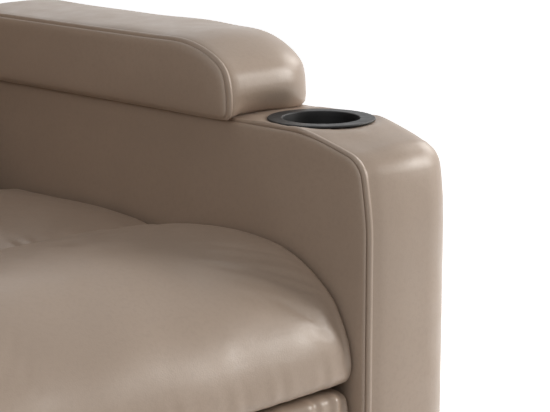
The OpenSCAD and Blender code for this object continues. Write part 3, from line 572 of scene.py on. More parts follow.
def outline(row, i, low=0.0):
    """(y, z) of the arm's side outline at a row, drawn in by i; its foot is raised by low."""
    kind, t = row
    w = min(max((i - FREE_FROM) / FREE_OVER, 0.0), 1.0)
    m = max(CORNER, i)
    a_droop = DROOP_A * (1 - 0.5 * w)
    a_face = NOSE_A + (math.pi / 2 - NOSE_A) * 0.5 * w
    if kind == "rear":
        return np.array([ARM_REAR - i, ARM_FOOT + low + (ARM_TOP - m - ARM_FOOT - low) * t])
    if kind == "corner":
        a = math.pi / 2 * t
        return np.array([ARM_REAR - m, ARM_TOP - m]) + (m - i) * np.array([math.cos(a), math.sin(a)])
    if kind == "top":
        return np.array([ARM_REAR - m + (DROOP_C[0] - ARM_REAR + m) * t, ARM_TOP - i])
    if kind == "droop":
        return DROOP_C + (DROOP_R - i) * up(a_droop * t)
    if kind == "nose":
        arc = NOSE_C + (NOSE_R - min(i, FREE_FROM)) * up(DROOP_A + (NOSE_A - DROOP_A) * t)
        if w == 0:
            return arc
        p0 = DROOP_C + (DROOP_R - i) * up(a_droop)
        p2 = FACE_C + (FACE_R - i) * up(a_face)
        p1 = NOSE_C + max(i - NOSE_R, 0.0) * np.array([1.0, -1.0])
        free = (1 - t) ** 2 * p0 + 2 * t * (1 - t) * p1 + t * t * p2
        return arc * (1 - w) + free * w
    if kind == "face":
        return FACE_C + (FACE_R - i) * up(a_face + (math.pi / 2 - a_face) * t)
    if kind == "front":
        return np.array([ARM_FRONT + i, FACE_C[1] + (ARM_FOOT + low - FACE_C[1]) * t])
    return np.array([ARM_FRONT + i + (ARM_REAR - ARM_FRONT - 2 * i) * t, ARM_FOOT + low])


def slump(row):
    """How far the seam sinks in over the bend of the arm, where the leather is pulled tight."""
    kind, t = row
    done = float(smooth(0, 1, t))
    share = {"droop": done, "nose": 1 - done / 2, "face": (1 - done) / 2}.get(kind, 0.0)
    return SEAM_SINK * share


# Arm covers

INNER_SEAM_X = 273.4
# (x past the seam, inset): the piped edge of the band, from inside the seam to the flat
PIPING = [(0.2, 6.0), (0.0, 3.4), (0.4, 1.0), (1.4, -0.4), (3.0, -0.8), (4.8, -0.5), (6.0, 0.3), (6.6, 0.9),
          (7.3, 0.7), (9.1, 0.3)]
# (x past the seam, inset) of the inner panel, which faces the seat
INNER_PANEL = [(8.2, 30.0), (8.2, 6.0), (2.6, 5.6), (-0.5, 5.2), (-0.8, 3.2), (-1.6, 2.2), (-2.7, 2.4),
               (-3.5, 3.6), (-4.0, 6.0), (-4.3, 11.0), (-4.5, 18.0), (-4.6, 27.0)]
# (x past the outer face, inset) of the outer panel
OUTER_PANEL = [(-11.4, 60.0), (-11.4, 46.0), (-6.0, 45.8), (-3.4, 45.9), (-1.6, 46.6), (-0.4, 48.2),
               (0.3, 51.0), (0.9, 56.0), (1.4, 64.0)]
# (x past the outer face, inset) where the band turns in behind the outer panel
OUTER_HEM = [(0.2, 40.0), (-0.4, 42.5), (-1.6, 44.1), (-3.2, 44.9), (-11.0, 45.0), (-12.0, 30.0)]
BAND_BACK_X, BAND_BACK_INSET = 340.0, 25.0
# The band's crown: where it is highest, and how far that is from its inner foot
APEX, CROWN_HALF = 326.0, 50.0
CUP_X, CUP_Y, CUP_HOLE_R = 335.0, -330.0, 49.0
# From the cup's middle, the leather lies flat under the flange, rises beside it and fades out
FLAT_R, RISE_R, FULL_R, FADE_R, CALM_R = 57.0, 54.0, 60.0, 62.0, 86.0
# The hole for the release's bezel, in the right-hand arm
BEZEL_HOLE = ((-430, -195.3, 361.7), (-380, -84.7, 458.3))


def panel(name, stations, bulge, side, node, low_share=1.0, sinks=False):
    """A padded panel on an arm's side through stations (x, inset), closed along a middle line."""
    rows = ROWS + UNDER
    half = (ARM_TOP - ARM_FOOT) / 2

    def ring(x, i):
        return np.array([(x, *outline(r, i + (slump(r) if sinks else 0), i * low_share)) for r in rows])

    def toward_middle(r, t, swell):
        mid_y = np.clip(r[:, 1], ARM_FRONT + half, ARM_REAR - half)
        middle = np.column_stack([mid_y, np.full(len(r), (ARM_TOP + ARM_FOOT) / 2)])
        q = r.copy()
        q[:, 1:] += (middle - r[:, 1:]) * t
        q[:, 0] += swell * math.sin(t * math.pi / 2)
        return q

    drawn = [ring(x, i) for x, i in stations]
    rings = [toward_middle(drawn[0], t, 0.0) for t in (1.0, 0.75, 0.5, 0.25)] + drawn
    rings += [toward_middle(drawn[-1], t, bulge) for t in (0.12, 0.25, 0.4, 0.55, 0.7, 0.85, 1.0)]
    f = quads(len(rings), len(rows))
    return add(name, rings, f, hide_panel, "frame", (node,), side < 0)


def band_section(row):
    """(x, inset) across the band at a row, from its hidden inner flap round to its hidden outer hem."""
    kind, t = row
    edge = {"rear": 12.0, "corner": 12 + 12 * t, "top": 24.0, "droop": 24 + 24 * t,
            "nose": 48 + 2 * float(smooth(0, 1, t))}.get(kind, 50.0)
    crown = {"rear": 1.5, "corner": 1.0, "top": 0.2, "droop": 0.4 + 0.6 * t,
             "nose": 1.0 + 3.0 * t}.get(kind, 4.0)
    piped = {"corner": 0.55, "top": 0.55, "droop": 0.55 + 0.25 * t, "nose": 0.8 + 0.2 * t}.get(kind, 1.0)
    section = [(INNER_SEAM_X + 9.6, 24.0), (INNER_SEAM_X + 1.6, 24.0)]
    section += [(INNER_SEAM_X + x, i * piped) for x, i in PIPING] + [(INNER_SEAM_X + 13.6, -crown * 0.25)]
    for x in np.linspace(INNER_SEAM_X + 18.6, ARM_OUT - edge, 13):
        away = (x - APEX) / (CROWN_HALF if x < APEX else ARM_OUT - APEX)
        section.append((x, -crown * max(1 - away ** 2, 0.0)))
    lift = section[-1][1]
    for k in range(1, 8):
        a = math.pi / 2 * k / 7
        section.append((ARM_OUT - edge + edge * math.sin(a), edge * (1 - math.cos(a)) + lift * (1 - k / 7)))
    section.append((ARM_OUT + 0.3, (edge + OUTER_HEM[0][1]) / 2))
    section += [(ARM_OUT + x, i) for x, i in OUTER_HEM] + [(BAND_BACK_X, BAND_BACK_INSET)]
    return section


def arm_band(name, side, node):
    seam_end = INNER_SEAM_X + 6.6
    sections = []
    for r in ROWS:
        sunk = [(x, i + slump(r) * float(smooth(345, seam_end, x))) for x, i in band_section(r)]
        sections.append([(x, *outline(r, i)) for x, i in sunk])
    v = np.array(sections)
    # the flange of the cup holder presses into the padding, which stands up and puckers a little round it
    d = np.hypot(v[..., 0] - CUP_X, v[..., 1] - CUP_Y)
    top = v[..., 2] > ARM_TOP - 17
    v[..., 2] = np.where(top * (d < FLAT_R), np.minimum(v[..., 2], ARM_TOP - 0.4), v[..., 2])
    ang = np.arctan2(v[..., 1] - CUP_Y, v[..., 0] - CUP_X)
    ripple = np.sin(ang * 9 + 0.7) * 0.30 + np.sin(ang * 14 + 2.1) * 0.25
    v[..., 2] += (1.7 + ripple) * smooth(RISE_R, FULL_R, d) * smooth(CALM_R, FADE_R, d) * top
    f = quads(len(v), v.shape[1]) + end_caps(len(v), v.shape[1])
    o = add(name, v, f, hide, "frame", (node,), side < 0)
    cut(o, drum_tool(side * CUP_X, CUP_Y, ARM_TOP - 97, ARM_TOP + 23, CUP_HOLE_R))


for side, word in ((1, "left"), (-1, "right")):
    panel("arm_inner_cover_" + word, [(INNER_SEAM_X + x, i) for x, i in INNER_PANEL], -0.6, side,
          "arm_inner_panel_" + word, sinks=True)
    outer = panel("arm_outer_cover_" + word, [(ARM_OUT + x, i) for x, i in OUTER_PANEL], 0.8, side,
                  "arm_outer_panel_" + word, low_share=0.06)
    if side < 0:
        cut(outer, box_tool(*BEZEL_HOLE))
    arm_band("arm_band_cover_" + word, side, "arm_band_" + word)

# Arm pads

PAD_IN, PAD_OUT = 255.0, 409.0
PAD_FOOT, PAD_TOP = 577.4, 652.0
PAD_MIDDLE_Z = 614.5
# (y, z) of its side, from the rear over the top, the front's round and back along the foot
PAD_PROFILE = [(196.0, 578.2), (200.0, 590.0), (200.0, 630.0), (194.0, 645.5), (178.0, 651.5),
               (120.0, PAD_TOP), (40.0, PAD_TOP), (-60.0, PAD_TOP), (-150.0, 652.3), (-206.0, PAD_TOP),
               (-237.5, 645.2), (-257.4, 636.0), (-267.6, 626.0), (-272.4, 612.0), (-273.8, 598.0),
               (-273.6, 585.0), (-271.0, 578.8), (-258.0, 577.5), (-150.0, PAD_FOOT), (0.0, PAD_FOOT),
               (150.0, PAD_FOOT)]
# Rounding of the outer front, the outer top edge and the outer foot
PAD_FRONT_R, PAD_EDGE_R, PAD_FOOT_R = 71.0, 36.0, 3.0
# (x past the inner face, inset) over the inner panel's edge, the seam and its piping
PAD_SEAM = [(-1.2, 8.0), (-0.4, 5.0), (0.6, 3.2), (1.7, 2.4), (2.7, 2.8), (3.1, 4.2), (3.4, 4.2), (3.8, 2.4),
            (4.4, 0.6), (5.6, -0.6), (7.2, -0.6), (8.6, 0.4), (9.3, 1.4), (10.2, 0.9), (13.0, 0.2)]
# (x past the outer face, how far the outline has shrunk) over the seam of the outer panel
PAD_OUTER_SEAM = [(0.2, 2.1), (-1.0, 3.3), (-0.2, 4.5), (0.7, 7.2)]


def rounding(x, r):
    """How far an edge of radius r has fallen away at x, near the pad's outer face."""
    over = max(x - PAD_OUT + r, 0.0)
    return r - math.sqrt(max(r * r - over ** 2, 0.0))


def arm_pad(name, side, node):
    prof = spline(PAD_PROFILE, 150, closed=True)
    y0, z0 = prof.T
    nrm = outward_normals(prof)
    upward = np.clip(nrm[:, 1], 0, 1)
    downward = np.clip(-nrm[:, 1], 0, 1)
    mid = np.stack([np.clip(y0, -236.0, 162.0), np.full(len(prof), PAD_MIDDLE_Z)], 1)
    inward = (mid - prof) / np.linalg.norm(mid - prof, axis=1)[:, None]
    crowned = upward ** 2 * smooth(-274, -215, y0) * smooth(204, 170, y0)
    tuck = smooth(604, 578, z0) * smooth(-170, -262, y0)

    def place(x, inset):
        """The profile at x, drawn in by inset, with the outer edges rounded away."""
        deep = float(smooth(1.5, 5.0, inset))
        y, z = (prof + (inward * deep - nrm * (1 - deep)) * inset).T
        back = rounding(x, PAD_FRONT_R)
        crown = max(1 - ((x - 330.0) / 79.0) ** 2, 0.0)
        y = y + back * (smooth(-100, -262, y0) - 0.55 * smooth(80, 196, y0))
        y = y - 3.0 * crown * np.clip(-nrm[:, 0], 0, 1)
        y = y + 14 * tuck * float(smooth(258, 292, x) * smooth(385, 310, x))
        z = z - rounding(x, PAD_EDGE_R) * upward + rounding(x, PAD_FOOT_R) * downward
        z = z + 6.0 * crown * crowned
        z = z - 4.0 * float(smooth(310, 400, x)) * smooth(-110, -235, y0) * upward
        return np.column_stack([np.full(len(y), x), y, z])

    first = place(PAD_IN - 1.6, 12.0)
    rings = []
    for t in (1.0, 0.8, 0.6, 0.4, 0.2):
        q = first + (np.column_stack([first[:, 0], mid]) - first) * t
        q[:, 0] -= 0.8 * math.sin(t * math.pi / 2)
        rings.append(q)
    rings.append(first)
    rings += [place(PAD_IN + x, i) for x, i in PAD_SEAM]
    rings += [place(x, 0.0) for x in np.linspace(PAD_IN + 20, PAD_OUT - PAD_FRONT_R, 6)]
    for k in range(1, 15):
        x = PAD_OUT - PAD_FRONT_R + PAD_FRONT_R * math.sin(math.pi / 2 * k / 14)
        rings.append(place(min(x, PAD_OUT - 0.02), 0.0))
    face = place(PAD_OUT - 0.02, 0.0)
    centre = np.array([-20.0, 612.0])
    for x, shrink in PAD_OUTER_SEAM:
        d = face[:, 1:] - centre
        q = np.full_like(face, PAD_OUT + x)
        q[:, 1] = face[:, 1] - np.sign(d[:, 0]) * np.minimum(np.abs(d[:, 0]), shrink)
        q[:, 2] = centre[1] + d[:, 1] * (1 - shrink / 40)
        rings.append(q)
    end = rings[-1]
    middle = np.full_like(end, PAD_OUT + 1.4)
    middle[:, 1] = np.clip(end[:, 1], -160, 120)
    middle[:, 2] = centre[1]
    rings += [end + (middle - end) * t for t in (0.3, 0.6, 1.0)]
    v = np.array(rings)
    # soft dents in the front and the top
    x, y, z = np.moveaxis(v, -1, 0).copy()
    v[..., 1] += 1.1 * waves(v, 95, 11) * smooth(-200, -262, y) * smooth(252, 262, x)
    v[..., 2] += 0.7 * waves(v, 120, 12) * smooth(600, 640, z) * smooth(262, 275, x) * smooth(409, 396, x)
    add(name, v, quads(len(rings), len(prof)), hide, "frame", (node,), side < 0)


for side, word in ((1, "left"), (-1, "right")):
    arm_pad("arm_pad_cushion_" + word, side, "arm_pad_" + word)

# Seat


def gathers(v, length, wander, apart, seed, share=0.4, fade=60):
    """Folds `length` mm apart along X. They wander every apart mm, and a share of them comes and goes."""
    folds = np.sin(v[..., 0] * 2 * np.pi / length + wander * waves(v[..., :1], apart, seed))
    return folds * (1 - share + share * waves(v[..., :1], fade, seed + 1))


def loft(ring_of, xs, half, r_end, bulge=1.2, flat=False):
    """A stuffed form along X. ring_of(x) gives its closed (y, z) ring; the ends round over and close.

    A flat one is a thin sheet, whose ends are only rounded."""

    def ring(x, inset):
        p = ring_of(x)
        if flat:
            return p - outward_normals(p) * inset
        lo, hi = p.min(0), p.max(0)
        h = (hi - lo).min() / 2
        d = np.clip(p, lo + h, hi - h) - p
        return p + d * np.minimum(inset / np.linalg.norm(d, axis=1), 0.85)[:, None]

    def whole(x, inset):
        p = ring(min(max(x, -half), half), inset)
        return np.column_stack([np.full(len(p), x), p])

    edge = [] if flat else [(-half - 0.2, r_end + 3.0), (-half + 1.2, r_end + 1.2)]
    for a in np.radians([75, 60, 45, 30, 15]):
        edge.append((r_end - half - r_end * math.sin(a), r_end * (1 - math.cos(a))))
    cap = whole(-half - bulge, r_end + (0.0 if flat else 9.0))
    first = [] if flat else [cap.mean(0) + (cap - cap.mean(0)) * s for s in (0.02, 0.4, 0.75)]
    first.append(cap)
    rings = first + [whole(x, i) for x, i in edge] + [whole(x, 0.0) for x in xs]
    rings += [whole(-x, i) for x, i in reversed(edge)] + [q * [-1, 1, 1] for q in reversed(first)]
    v = np.array(rings)
    return v, quads(len(v), v.shape[1]) + end_caps(len(v), v.shape[1])


# The front roll's side: from the seam with the rear section over the top, down to the lip, and back
ROLL_HALF = 267.2
ROLL_FLAT_Z = 397.8
ROLL_TOP = [(-163.2, 440.0), (-163.6, 448.5), (-166.0, 454.0), (-174.0, 457.8), (-194.0, 461.5),
            (-226.0, 465.2), (-257.0, 467.6), (-287.0, 468.4), (-314.0, 466.6), (-339.0, 463.5),
            (-360.0, 457.8), (-388.0, 445.0), (-409.0, 431.0), (-423.0, 418.0), (-432.0, 403.0),
            (-438.5, 390.0), (-443.0, 375.0), (-445.0, 358.0), (-443.4, 346.0), (-438.5, 339.0)]
ROLL_UNDER = [(-432.0, 337.4), (-425.0, 340.5), (-421.8, 350.0), (-421.4, 375.0), (-421.2, 393.0),
              (-416.0, 397.6), (-400.0, ROLL_FLAT_Z), (-320.0, ROLL_FLAT_Z), (-240.0, ROLL_FLAT_Z),
              (-180.0, ROLL_FLAT_Z), (-165.0, 399.0), (-163.2, 410.0), (-163.0, 426.0)]
# Where the roll starts to round down towards the arm, and with what radius
ROLL_ROUND_X, ROLL_ROUND_R = 239.0, 44.0
roll_top = spline(ROLL_TOP, 90)
roll_under = spline(ROLL_UNDER, 40)


def roll_ring(x):
    """Side profile of the front roll. It rounds down over its last 28 mm and is pressed flat at the arm."""
    ax = abs(x)
    tilt = math.asin(min(max((ax - ROLL_ROUND_X) / ROLL_ROUND_R, 0.0), 0.64))
    inset = ROLL_ROUND_R * (1 - math.cos(tilt)) - 6.5
    if ax > 263.0:
        inset += 9.0 - math.sqrt(max(81.0 - (ax - 263.0) ** 2 * 4.3, 0.0))
    t = roll_top.copy()
    n = outward_normals(np.vstack([roll_top, roll_under]))[:len(t)]
    s = np.linspace(0, 1, len(t))
    t -= n * (np.sin(np.pi * s) ** 0.4 * inset)[:, None]
    # the lower lip bows forward in the middle
    bow = 9.0 * (1 - (ax / 267.5) ** 2.2)
    t[:, 0] -= bow * smooth(0.70, 1.0, s)
    u = roll_under.copy()
    u[:, 0] -= bow / 2 * smooth(0.35, 0.0, np.linspace(0, 1, len(u)))
    return np.vstack([t, u])


def roll_held(q):
    """The roll is held over its board, along its lip, at the seam with the rear section and at its ends."""
    board = smooth(-424, -420, q[:, 1]) * smooth(404, 400, q[:, 2])
    seam = smooth(-172, -164, q[:, 1]) * smooth(440, 425, q[:, 2])
    return np.maximum.reduce([board, seam, smooth(360, 346, q[:, 2]), near_ends(q, 267)])


def seat_roll():
    ends = np.array([ROLL_HALF, 266.6, 265.6, 264.4, 263.0, 260.0, 256.0, 251.0])
    xs = np.concatenate([-ends, SEAT_XS, ends[::-1]])
    v = np.array([np.column_stack([np.full(len(roll_top) + len(roll_under), x), roll_ring(x)]) for x in xs])
    f = quads(len(v), v.shape[1]) + end_caps(len(v), v.shape[1])
    v, f = stuffed(v, f, 7.0, 4.0, roll_held, 5.0)
    front = smooth(-300, -430, v[..., 1])
    top = smooth(420, 455, v[..., 2])
    lip = smooth(360, 340, v[..., 2]) * smooth(-415, -436, v[..., 1])
    valley = smooth(-200, -166, v[..., 1]) * top
    v[..., 2] += 1.2 * waves(v, 140, 21) * top
    v[..., 1] -= 1.0 * waves(v, 110, 22) * front * (1 - lip)
    pucker = gathers(v, 27.0, 2.0, 120, 23)
    v[..., 2] += 0.9 * pucker * valley
    v[..., 1] += 0.5 * pucker * smooth(385, 345, v[..., 2]) * smooth(-418, -430, v[..., 1])
    add("seat_roll", v, f, hide, "frame", ("seat_front_roll",))


SEAT_XS = np.concatenate([np.linspace(-246, -200, 8), np.linspace(-190, 190, 39), np.linspace(200, 246, 8)])
seat_roll()

# The side profile of the seat's rear section, over the top from the rear and back along its board
REAR_HALF = 262.0
REAR_TOP = [(115.5, 405.0), (116.5, 425.0), (114.5, 442.0), (107.0, 453.5), (92.0, 459.5), (50.0, 461.0),
            (-6.0, 460.8), (-52.0, 462.0), (-95.0, 461.9), (-129.0, 459.6), (-150.0, 456.6), (-158.5, 452.5),
            (-161.0, 446.0), (-161.4, 436.0)]
REAR_UNDER = [(-161.4, 420.0), (-161.2, 404.0), (-158.0, 399.2), (-148.0, 398.0), (-60.0, 397.8),
              (20.0, 397.8), (100.0, 397.8), (112.0, 398.6)]
rear_top = spline(REAR_TOP, 70)
rear_under = spline(REAR_UNDER, 30)


def rear_ring(x):
    x_share = abs(x) / REAR_HALF
    crown = 5.0 * (1 - x_share ** 4) + 4.0 * (1 - x_share ** 2)
    t = rear_top.copy()
    t[:, 1] += np.sin(np.pi * np.linspace(0, 1, len(t))) ** 0.7 * crown
    return np.vstack([t, rear_under])


def rear_held(q):
    """The rear section is held on its board, at its ends and at the seam with the roll."""
    seam = smooth(-154, -160, q[:, 1])
    return np.maximum.reduce([smooth(406, 400, q[:, 2]), near_ends(q, REAR_HALF), seam])


def seat_rear():
    v, f = loft(rear_ring, SEAT_XS, REAR_HALF, 14.0, 0.8)
    v, f = stuffed(v, f, 7.0, 4.0, rear_held)
    top = smooth(430, 455, v[..., 2])
    v[..., 2] += 1.1 * waves(v, 130, 31) * top
    v[..., 2] += 0.8 * gathers(v, 31.0, 2.0, 120, 33) * smooth(-128, -156, v[..., 1]) * top
    add("seat_rear", v, f, hide, "frame", ("seat_rear_cushion",))


seat_rear()

# Footrest pad

# Its side profile: over the top at the front, down the face, round the foot and up the board
REST_FACE_Y, REST_BOARD_Y = -450.8, -404.4
REST = [(-438.5, 331.6), (-444.6, 328.0), (-448.4, 319.0), (-450.2, 304.0), (REST_FACE_Y, 270.0),
        (REST_FACE_Y, 210.0), (-450.6, 150.0), (-449.6, 112.0), (-445.0, 98.0), (-436.0, 91.8),
        (-424.0, 90.4), (-411.0, 92.5), (-406.0, 98.0), (-404.6, 112.0), (REST_BOARD_Y, 150.0),
        (REST_BOARD_Y, 210.0), (REST_BOARD_Y, 270.0), (-404.6, 312.0), (-407.0, 325.0), (-414.0, 331.2),
        (-428.0, 332.4)]
rest_prof = spline(REST, 120, closed=True)


def rest_ring(x):
    x_share = abs(x) / 262.0
    p = rest_prof.copy()
    face = smooth(-430, -449, p[:, 0])
    env = np.sin(np.pi * np.clip((p[:, 1] - 92) / 240, 0, 1)) ** 0.8
    p[:, 0] -= face * (env * 5.0 * (1 - x_share ** 3) + 2.2 * (1 - x_share ** 2))
    return p


def rest_held(q):
    """The footrest's pad is held on its board, along its top and bottom seams and at its ends."""
    return np.maximum.reduce([
        smooth(-410, -406, q[:, 1]), smooth(318, 327, q[:, 2]), smooth(104, 96, q[:, 2]), near_ends(q, 266)])


def footrest_pad():
    v, f = loft(rest_ring, SEAT_XS, 266.0, 16.0)
    v, f = stuffed(v, f, 6.0, 3.0, rest_held, 5.0)
    folds = gathers(v, 24.0, 3.0, 70, 41, 0.45, 45) * smooth(270, 325, v[..., 2])
    folds = folds * smooth(-428, -446, v[..., 1])
    v[..., 1] -= 2.6 * folds
    v[..., 2] += 1.2 * folds
    v[..., 1] -= 1.2 * waves(v, 120, 43) * smooth(-430, -448, v[..., 1])
    add("footrest_cushion", v, f, hide, "footrest", ("footrest_pad",))


footrest_pad()

# Back

# The back leans about a hinge line; along its slope it is BACK_H long with rounds of FOOT_R and HEAD_R behind
LEAN = math.radians(14)
BACK_H, FOOT_R, HEAD_R = 700.0, 95.0, 40.0
HEAD_C = (FOOT_R - HEAD_R, BACK_H - HEAD_R)
HINGE_Y = -ARM_FRONT - HEAD_R - HEAD_C[0] * math.cos(LEAN) - HEAD_C[1] * math.sin(LEAN)
HINGE_Z = 352.0
BACK_HALF = 252.0
# The cushions' front and rear faces, from the frame's face
CUSHION_FRONT, CUSHION_REAR = -92.8, -2.9
CUSHION_GAP = 0.3
# The seams between the three cushions, as shares of their joint height
CUSHIONS_FROM, CUSHIONS_LONG = 34, 660
SEAM_SHARES = (0, 0.345, 0.648, 1)
SEAMS = [CUSHIONS_FROM + CUSHIONS_LONG * s for s in SEAM_SHARES]


def leaned(v):
    """From (x, w, v) along the back's own slope to the row frame."""
    v = np.asarray(v, float)
    y = HINGE_Y + v[..., 1] * math.cos(LEAN) + v[..., 2] * math.sin(LEAN)
    z = HINGE_Z - v[..., 1] * math.sin(LEAN) + v[..., 2] * math.cos(LEAN)
    return np.stack([v[..., 0], y, z], -1)


def back_cushion(name, v0, v1, swell, seed, node):
    w0, w1 = CUSHION_FRONT, CUSHION_REAR
    h = v1 - v0
    upper = [(w1, v1 - 8), (w1 - 7, v1 - 1), (w1 - 30, v1 - 0.3), (w0 + 34, v1 - 2), (w0 + 14, v1 - 9),
             (w0 + 3, v1 - 26), (w0 - 1, v1 - 52)]
    lower = [(w0 - 1, v0 + 52), (w0 + 3, v0 + 26), (w0 + 14, v0 + 9), (w0 + 34, v0 + 2), (w1 - 30, v0 + 0.3),
             (w1 - 7, v0 + 1)]
    middle = v0 + h / 2
    base = spline([(w1, v0 + 8), (w1, middle)] + upper + [(w0 - 1, middle)] + lower, 110, closed=True)

    def ring(x):
        p = base.copy()
        face = smooth(w0 + 45, w0 + 2, p[:, 0])
        env = np.sin(np.pi * np.clip((p[:, 1] - v0) / h, 0, 1)) ** 0.9
        p[:, 0] -= face * env * swell * (1 - (abs(x) / BACK_HALF) ** 3.2)
        return p

    def from_seam(q):
        return np.minimum(q[..., 2] - v0, v1 - q[..., 2])

    def held(q):
        rear = smooth(-12, -5, q[:, 1])
        return np.maximum.reduce([rear, near_ends(q, BACK_HALF), smooth(9, 3, from_seam(q))])

    xs = np.concatenate([np.linspace(-224, -180, 7), np.linspace(-168, 168, 31), np.linspace(180, 224, 7)])
    v, f = loft(ring, xs, BACK_HALF, 24.0, 0.5)
    v, f = stuffed(v, f, 12.0, 6.0, held)
    near = smooth(h * 0.30, 0, from_seam(v)) * smooth(-30, -70, v[..., 1])
    v[..., 1] += 1.8 * gathers(v, 36.0, 2.5, 130, seed) * near
    v[..., 1] += 1.6 * waves(v, 150, seed + 2) * smooth(-40, -80, v[..., 1])
    add(name, leaned(v), f, hide, "back", (node,))


for k, (word, swell) in enumerate((("lumbar", 20), ("middle", 16), ("head", 20))):
    end = SEAMS[k + 1] - CUSHION_GAP
    back_cushion("back_" + word, SEAMS[k], end, swell, 51 + 10 * k, word + "_cushion")

# Outer covers of the back

# The cover's thickness, and where its top edge ends in front of the frame's face
SKIN, SKIN_EDGE_W = 14.0, -2.2
# The cut-out that clears the hinge brackets at the cover's foot
BRACKET_X, BRACKET_W, BRACKET_V = 226.5, 30.5, 0.6
BELOW_FOOT = -118


def soft_ring(points, n, reach):
    """n points evenly round a closed outline, its corners softened over about 2 * reach points."""
    p = np.vstack([points, points[:1]])
    s = np.concatenate([[0], np.cumsum(np.linalg.norm(np.diff(p, axis=0), axis=1))])
    at = np.linspace(0, s[-1], n + 1)[:-1]
    q = np.stack([np.interp(at, s, p[:, k]) for k in range(2)], 1)
    return sum(np.roll(q, k, axis=0) for k in range(-reach, reach + 1)) / (2 * reach + 1)


def turn(c, r, a0, a1, n):
    """n points round an arc, its angles in degrees."""
    a = np.radians(np.linspace(a0, a1, n))
    return np.stack([c[0] + r * np.cos(a), c[1] + r * np.sin(a)], 1)


skin_ring = soft_ring(np.vstack([
    turn((0, 0), FOOT_R, -99.5, 0, 24), turn(HEAD_C, HEAD_R, 0, 90, 16),
    [(SKIN_EDGE_W, BACK_H), (SKIN_EDGE_W, BACK_H - SKIN)],
    turn(HEAD_C, HEAD_R - SKIN, 90, 0, 12), turn((0, 0), FOOT_R - SKIN, 0, -99.5, 22)]), 420, 2)


def skin_at(x):
    """Section of the rear cover: fuller in the middle, drawn in along a sewn line near its foot."""
    w, v = skin_ring.T
    broad_x = 1 - (abs(x) / BACK_HALF) ** 4
    behind = smooth(FOOT_R - SKIN + 4, FOOT_R - 1, np.where(v < 0, np.hypot(w, v), w))
    out = np.maximum(behind, smooth(BACK_H - SKIN + 4, BACK_H - 1, v))
    broad_v = np.sin(np.pi * np.clip((v - 20) / 660, 0, 1)) ** 0.7
    seam = np.exp(-((v - 8) / 3.0) ** 2)
    fuller = out * (3.2 * broad_v * broad_x + 0.8 * broad_x - 1.8 * seam)
    return skin_ring + ring_normals(skin_ring) * fuller[:, None]


def back_skin():
    v, f = loft(skin_at, np.linspace(-244, 244, 62), 250.2, 4.5, 0.2, True)
    rear_face = smooth(60, 90, v[..., 1]) * smooth(660, 600, v[..., 2])
    v[..., 1] += 0.9 * waves(v, 190, 81) * rear_face
    crimp = np.sin(v[..., 0] * 2 * np.pi / 23.0 + 2.2 * waves(v[..., :1], 90, 82))
    v[..., 1] += 0.5 * crimp * smooth(70, 14, abs(v[..., 2] - 8)) * rear_face
    skin = add("back_rear_cover", leaned(v), f, hide_panel, "back", ("back_shell",))
    for x0, x1 in ((-BACK_HALF - 1, -BRACKET_X), (BRACKET_X, BACK_HALF + 1)):
        cut(skin, box_tool((x0, BELOW_FOOT, BELOW_FOOT), (x1, BRACKET_W, BRACKET_V), leaned))


back_skin()

cheek_ring = soft_ring(np.vstack([
    [(SKIN_EDGE_W, 0.6), (30.6, 0.6), (30.6, -89.6)], turn((0, 0), FOOT_R, -71, 0, 16),
    turn(HEAD_C, HEAD_R, 0, 90, 16), [(SKIN_EDGE_W, BACK_H)]]), 360, 2)
# (x, inset) over the rounded edge of a cheek
CHEEK_EDGE = [(250.6, 3.6), (251.2, 1.6), (252.4, 0.4), (254.0, 0.0), (257.0, -0.2), (259.0, 0.5),
              (260.6, 1.7), (261.6, 3.3), (262.1, 5.4)]


def cheek(name, side):
    """A thin padded side of the back with its rounded edge."""
    n = ring_normals(cheek_ring)
    middle = np.stack([np.clip(cheek_ring[:, 0], 44, 52), np.clip(cheek_ring[:, 1], -30, 640)], 1)
    rings = [np.column_stack([np.full(len(n), x), cheek_ring - n * i]) for x, i in CHEEK_EDGE]
    last_x, last_inset = CHEEK_EDGE[-1]
    last = cheek_ring - n * last_inset
    for t in (0.1, 0.25, 0.45, 0.7, 1.0):
        x = last_x + 1.6 * math.sin(t * math.pi / 2)
        rings.append(np.column_stack([np.full(len(n), x), last + (middle - last) * t]))
    v = np.array(rings)
    v[..., 0] += 0.5 * waves(v, 120, 85 + side) * smooth(258, 262, v[..., 0])
    f = quads(len(v), v.shape[1]) + end_caps(len(v), v.shape[1])[:1]
    add(name, leaned(v * [side, 1, 1]), f, hide_panel, "back", ("back_shell",))


cheek("back_cheek_left", 1)
cheek("back_cheek_right", -1)

# Closing panel at the rear

APRON_IN, APRON_OUT, APRON_FOOT, APRON_TOP = 285.0, 299.0, 45.0, 285.0
APRON_HALF = 269.5
APRON_HEM_Z = 68.0
apron_ring = soft_ring(np.array([
    (APRON_IN, APRON_FOOT), (APRON_OUT, APRON_FOOT), (APRON_OUT, APRON_TOP), (APRON_IN, APRON_TOP)]), 240, 3)


def apron_at(x):
    """Section of the panel: a little fuller in the middle, with a sewn line along its foot."""
    y, z = apron_ring.T
    broad_x = 1 - (abs(x) / APRON_HALF) ** 4
    broad_z = np.sin(np.pi * np.clip((z - APRON_FOOT) / (APRON_TOP - APRON_FOOT), 0, 1)) ** 0.6
    hem = np.exp(-((z - APRON_HEM_Z) / 2.2) ** 2) * smooth(292, 298, y)
    fuller = smooth(288, 298, y) * broad_z * 2.6 * broad_x - 1.2 * hem
    return apron_ring + ring_normals(apron_ring) * fuller[:, None]


v, f = loft(apron_at, np.linspace(-262, 262, 60), 269.2, 5.0, 0.1, True)
v[..., 1] += 0.9 * waves(v, 130, 91) * smooth(290, 299, v[..., 1])
add("rear_apron_cover", v, f, hide_panel, "frame", ("rear_apron",))

# Camera, light and floor

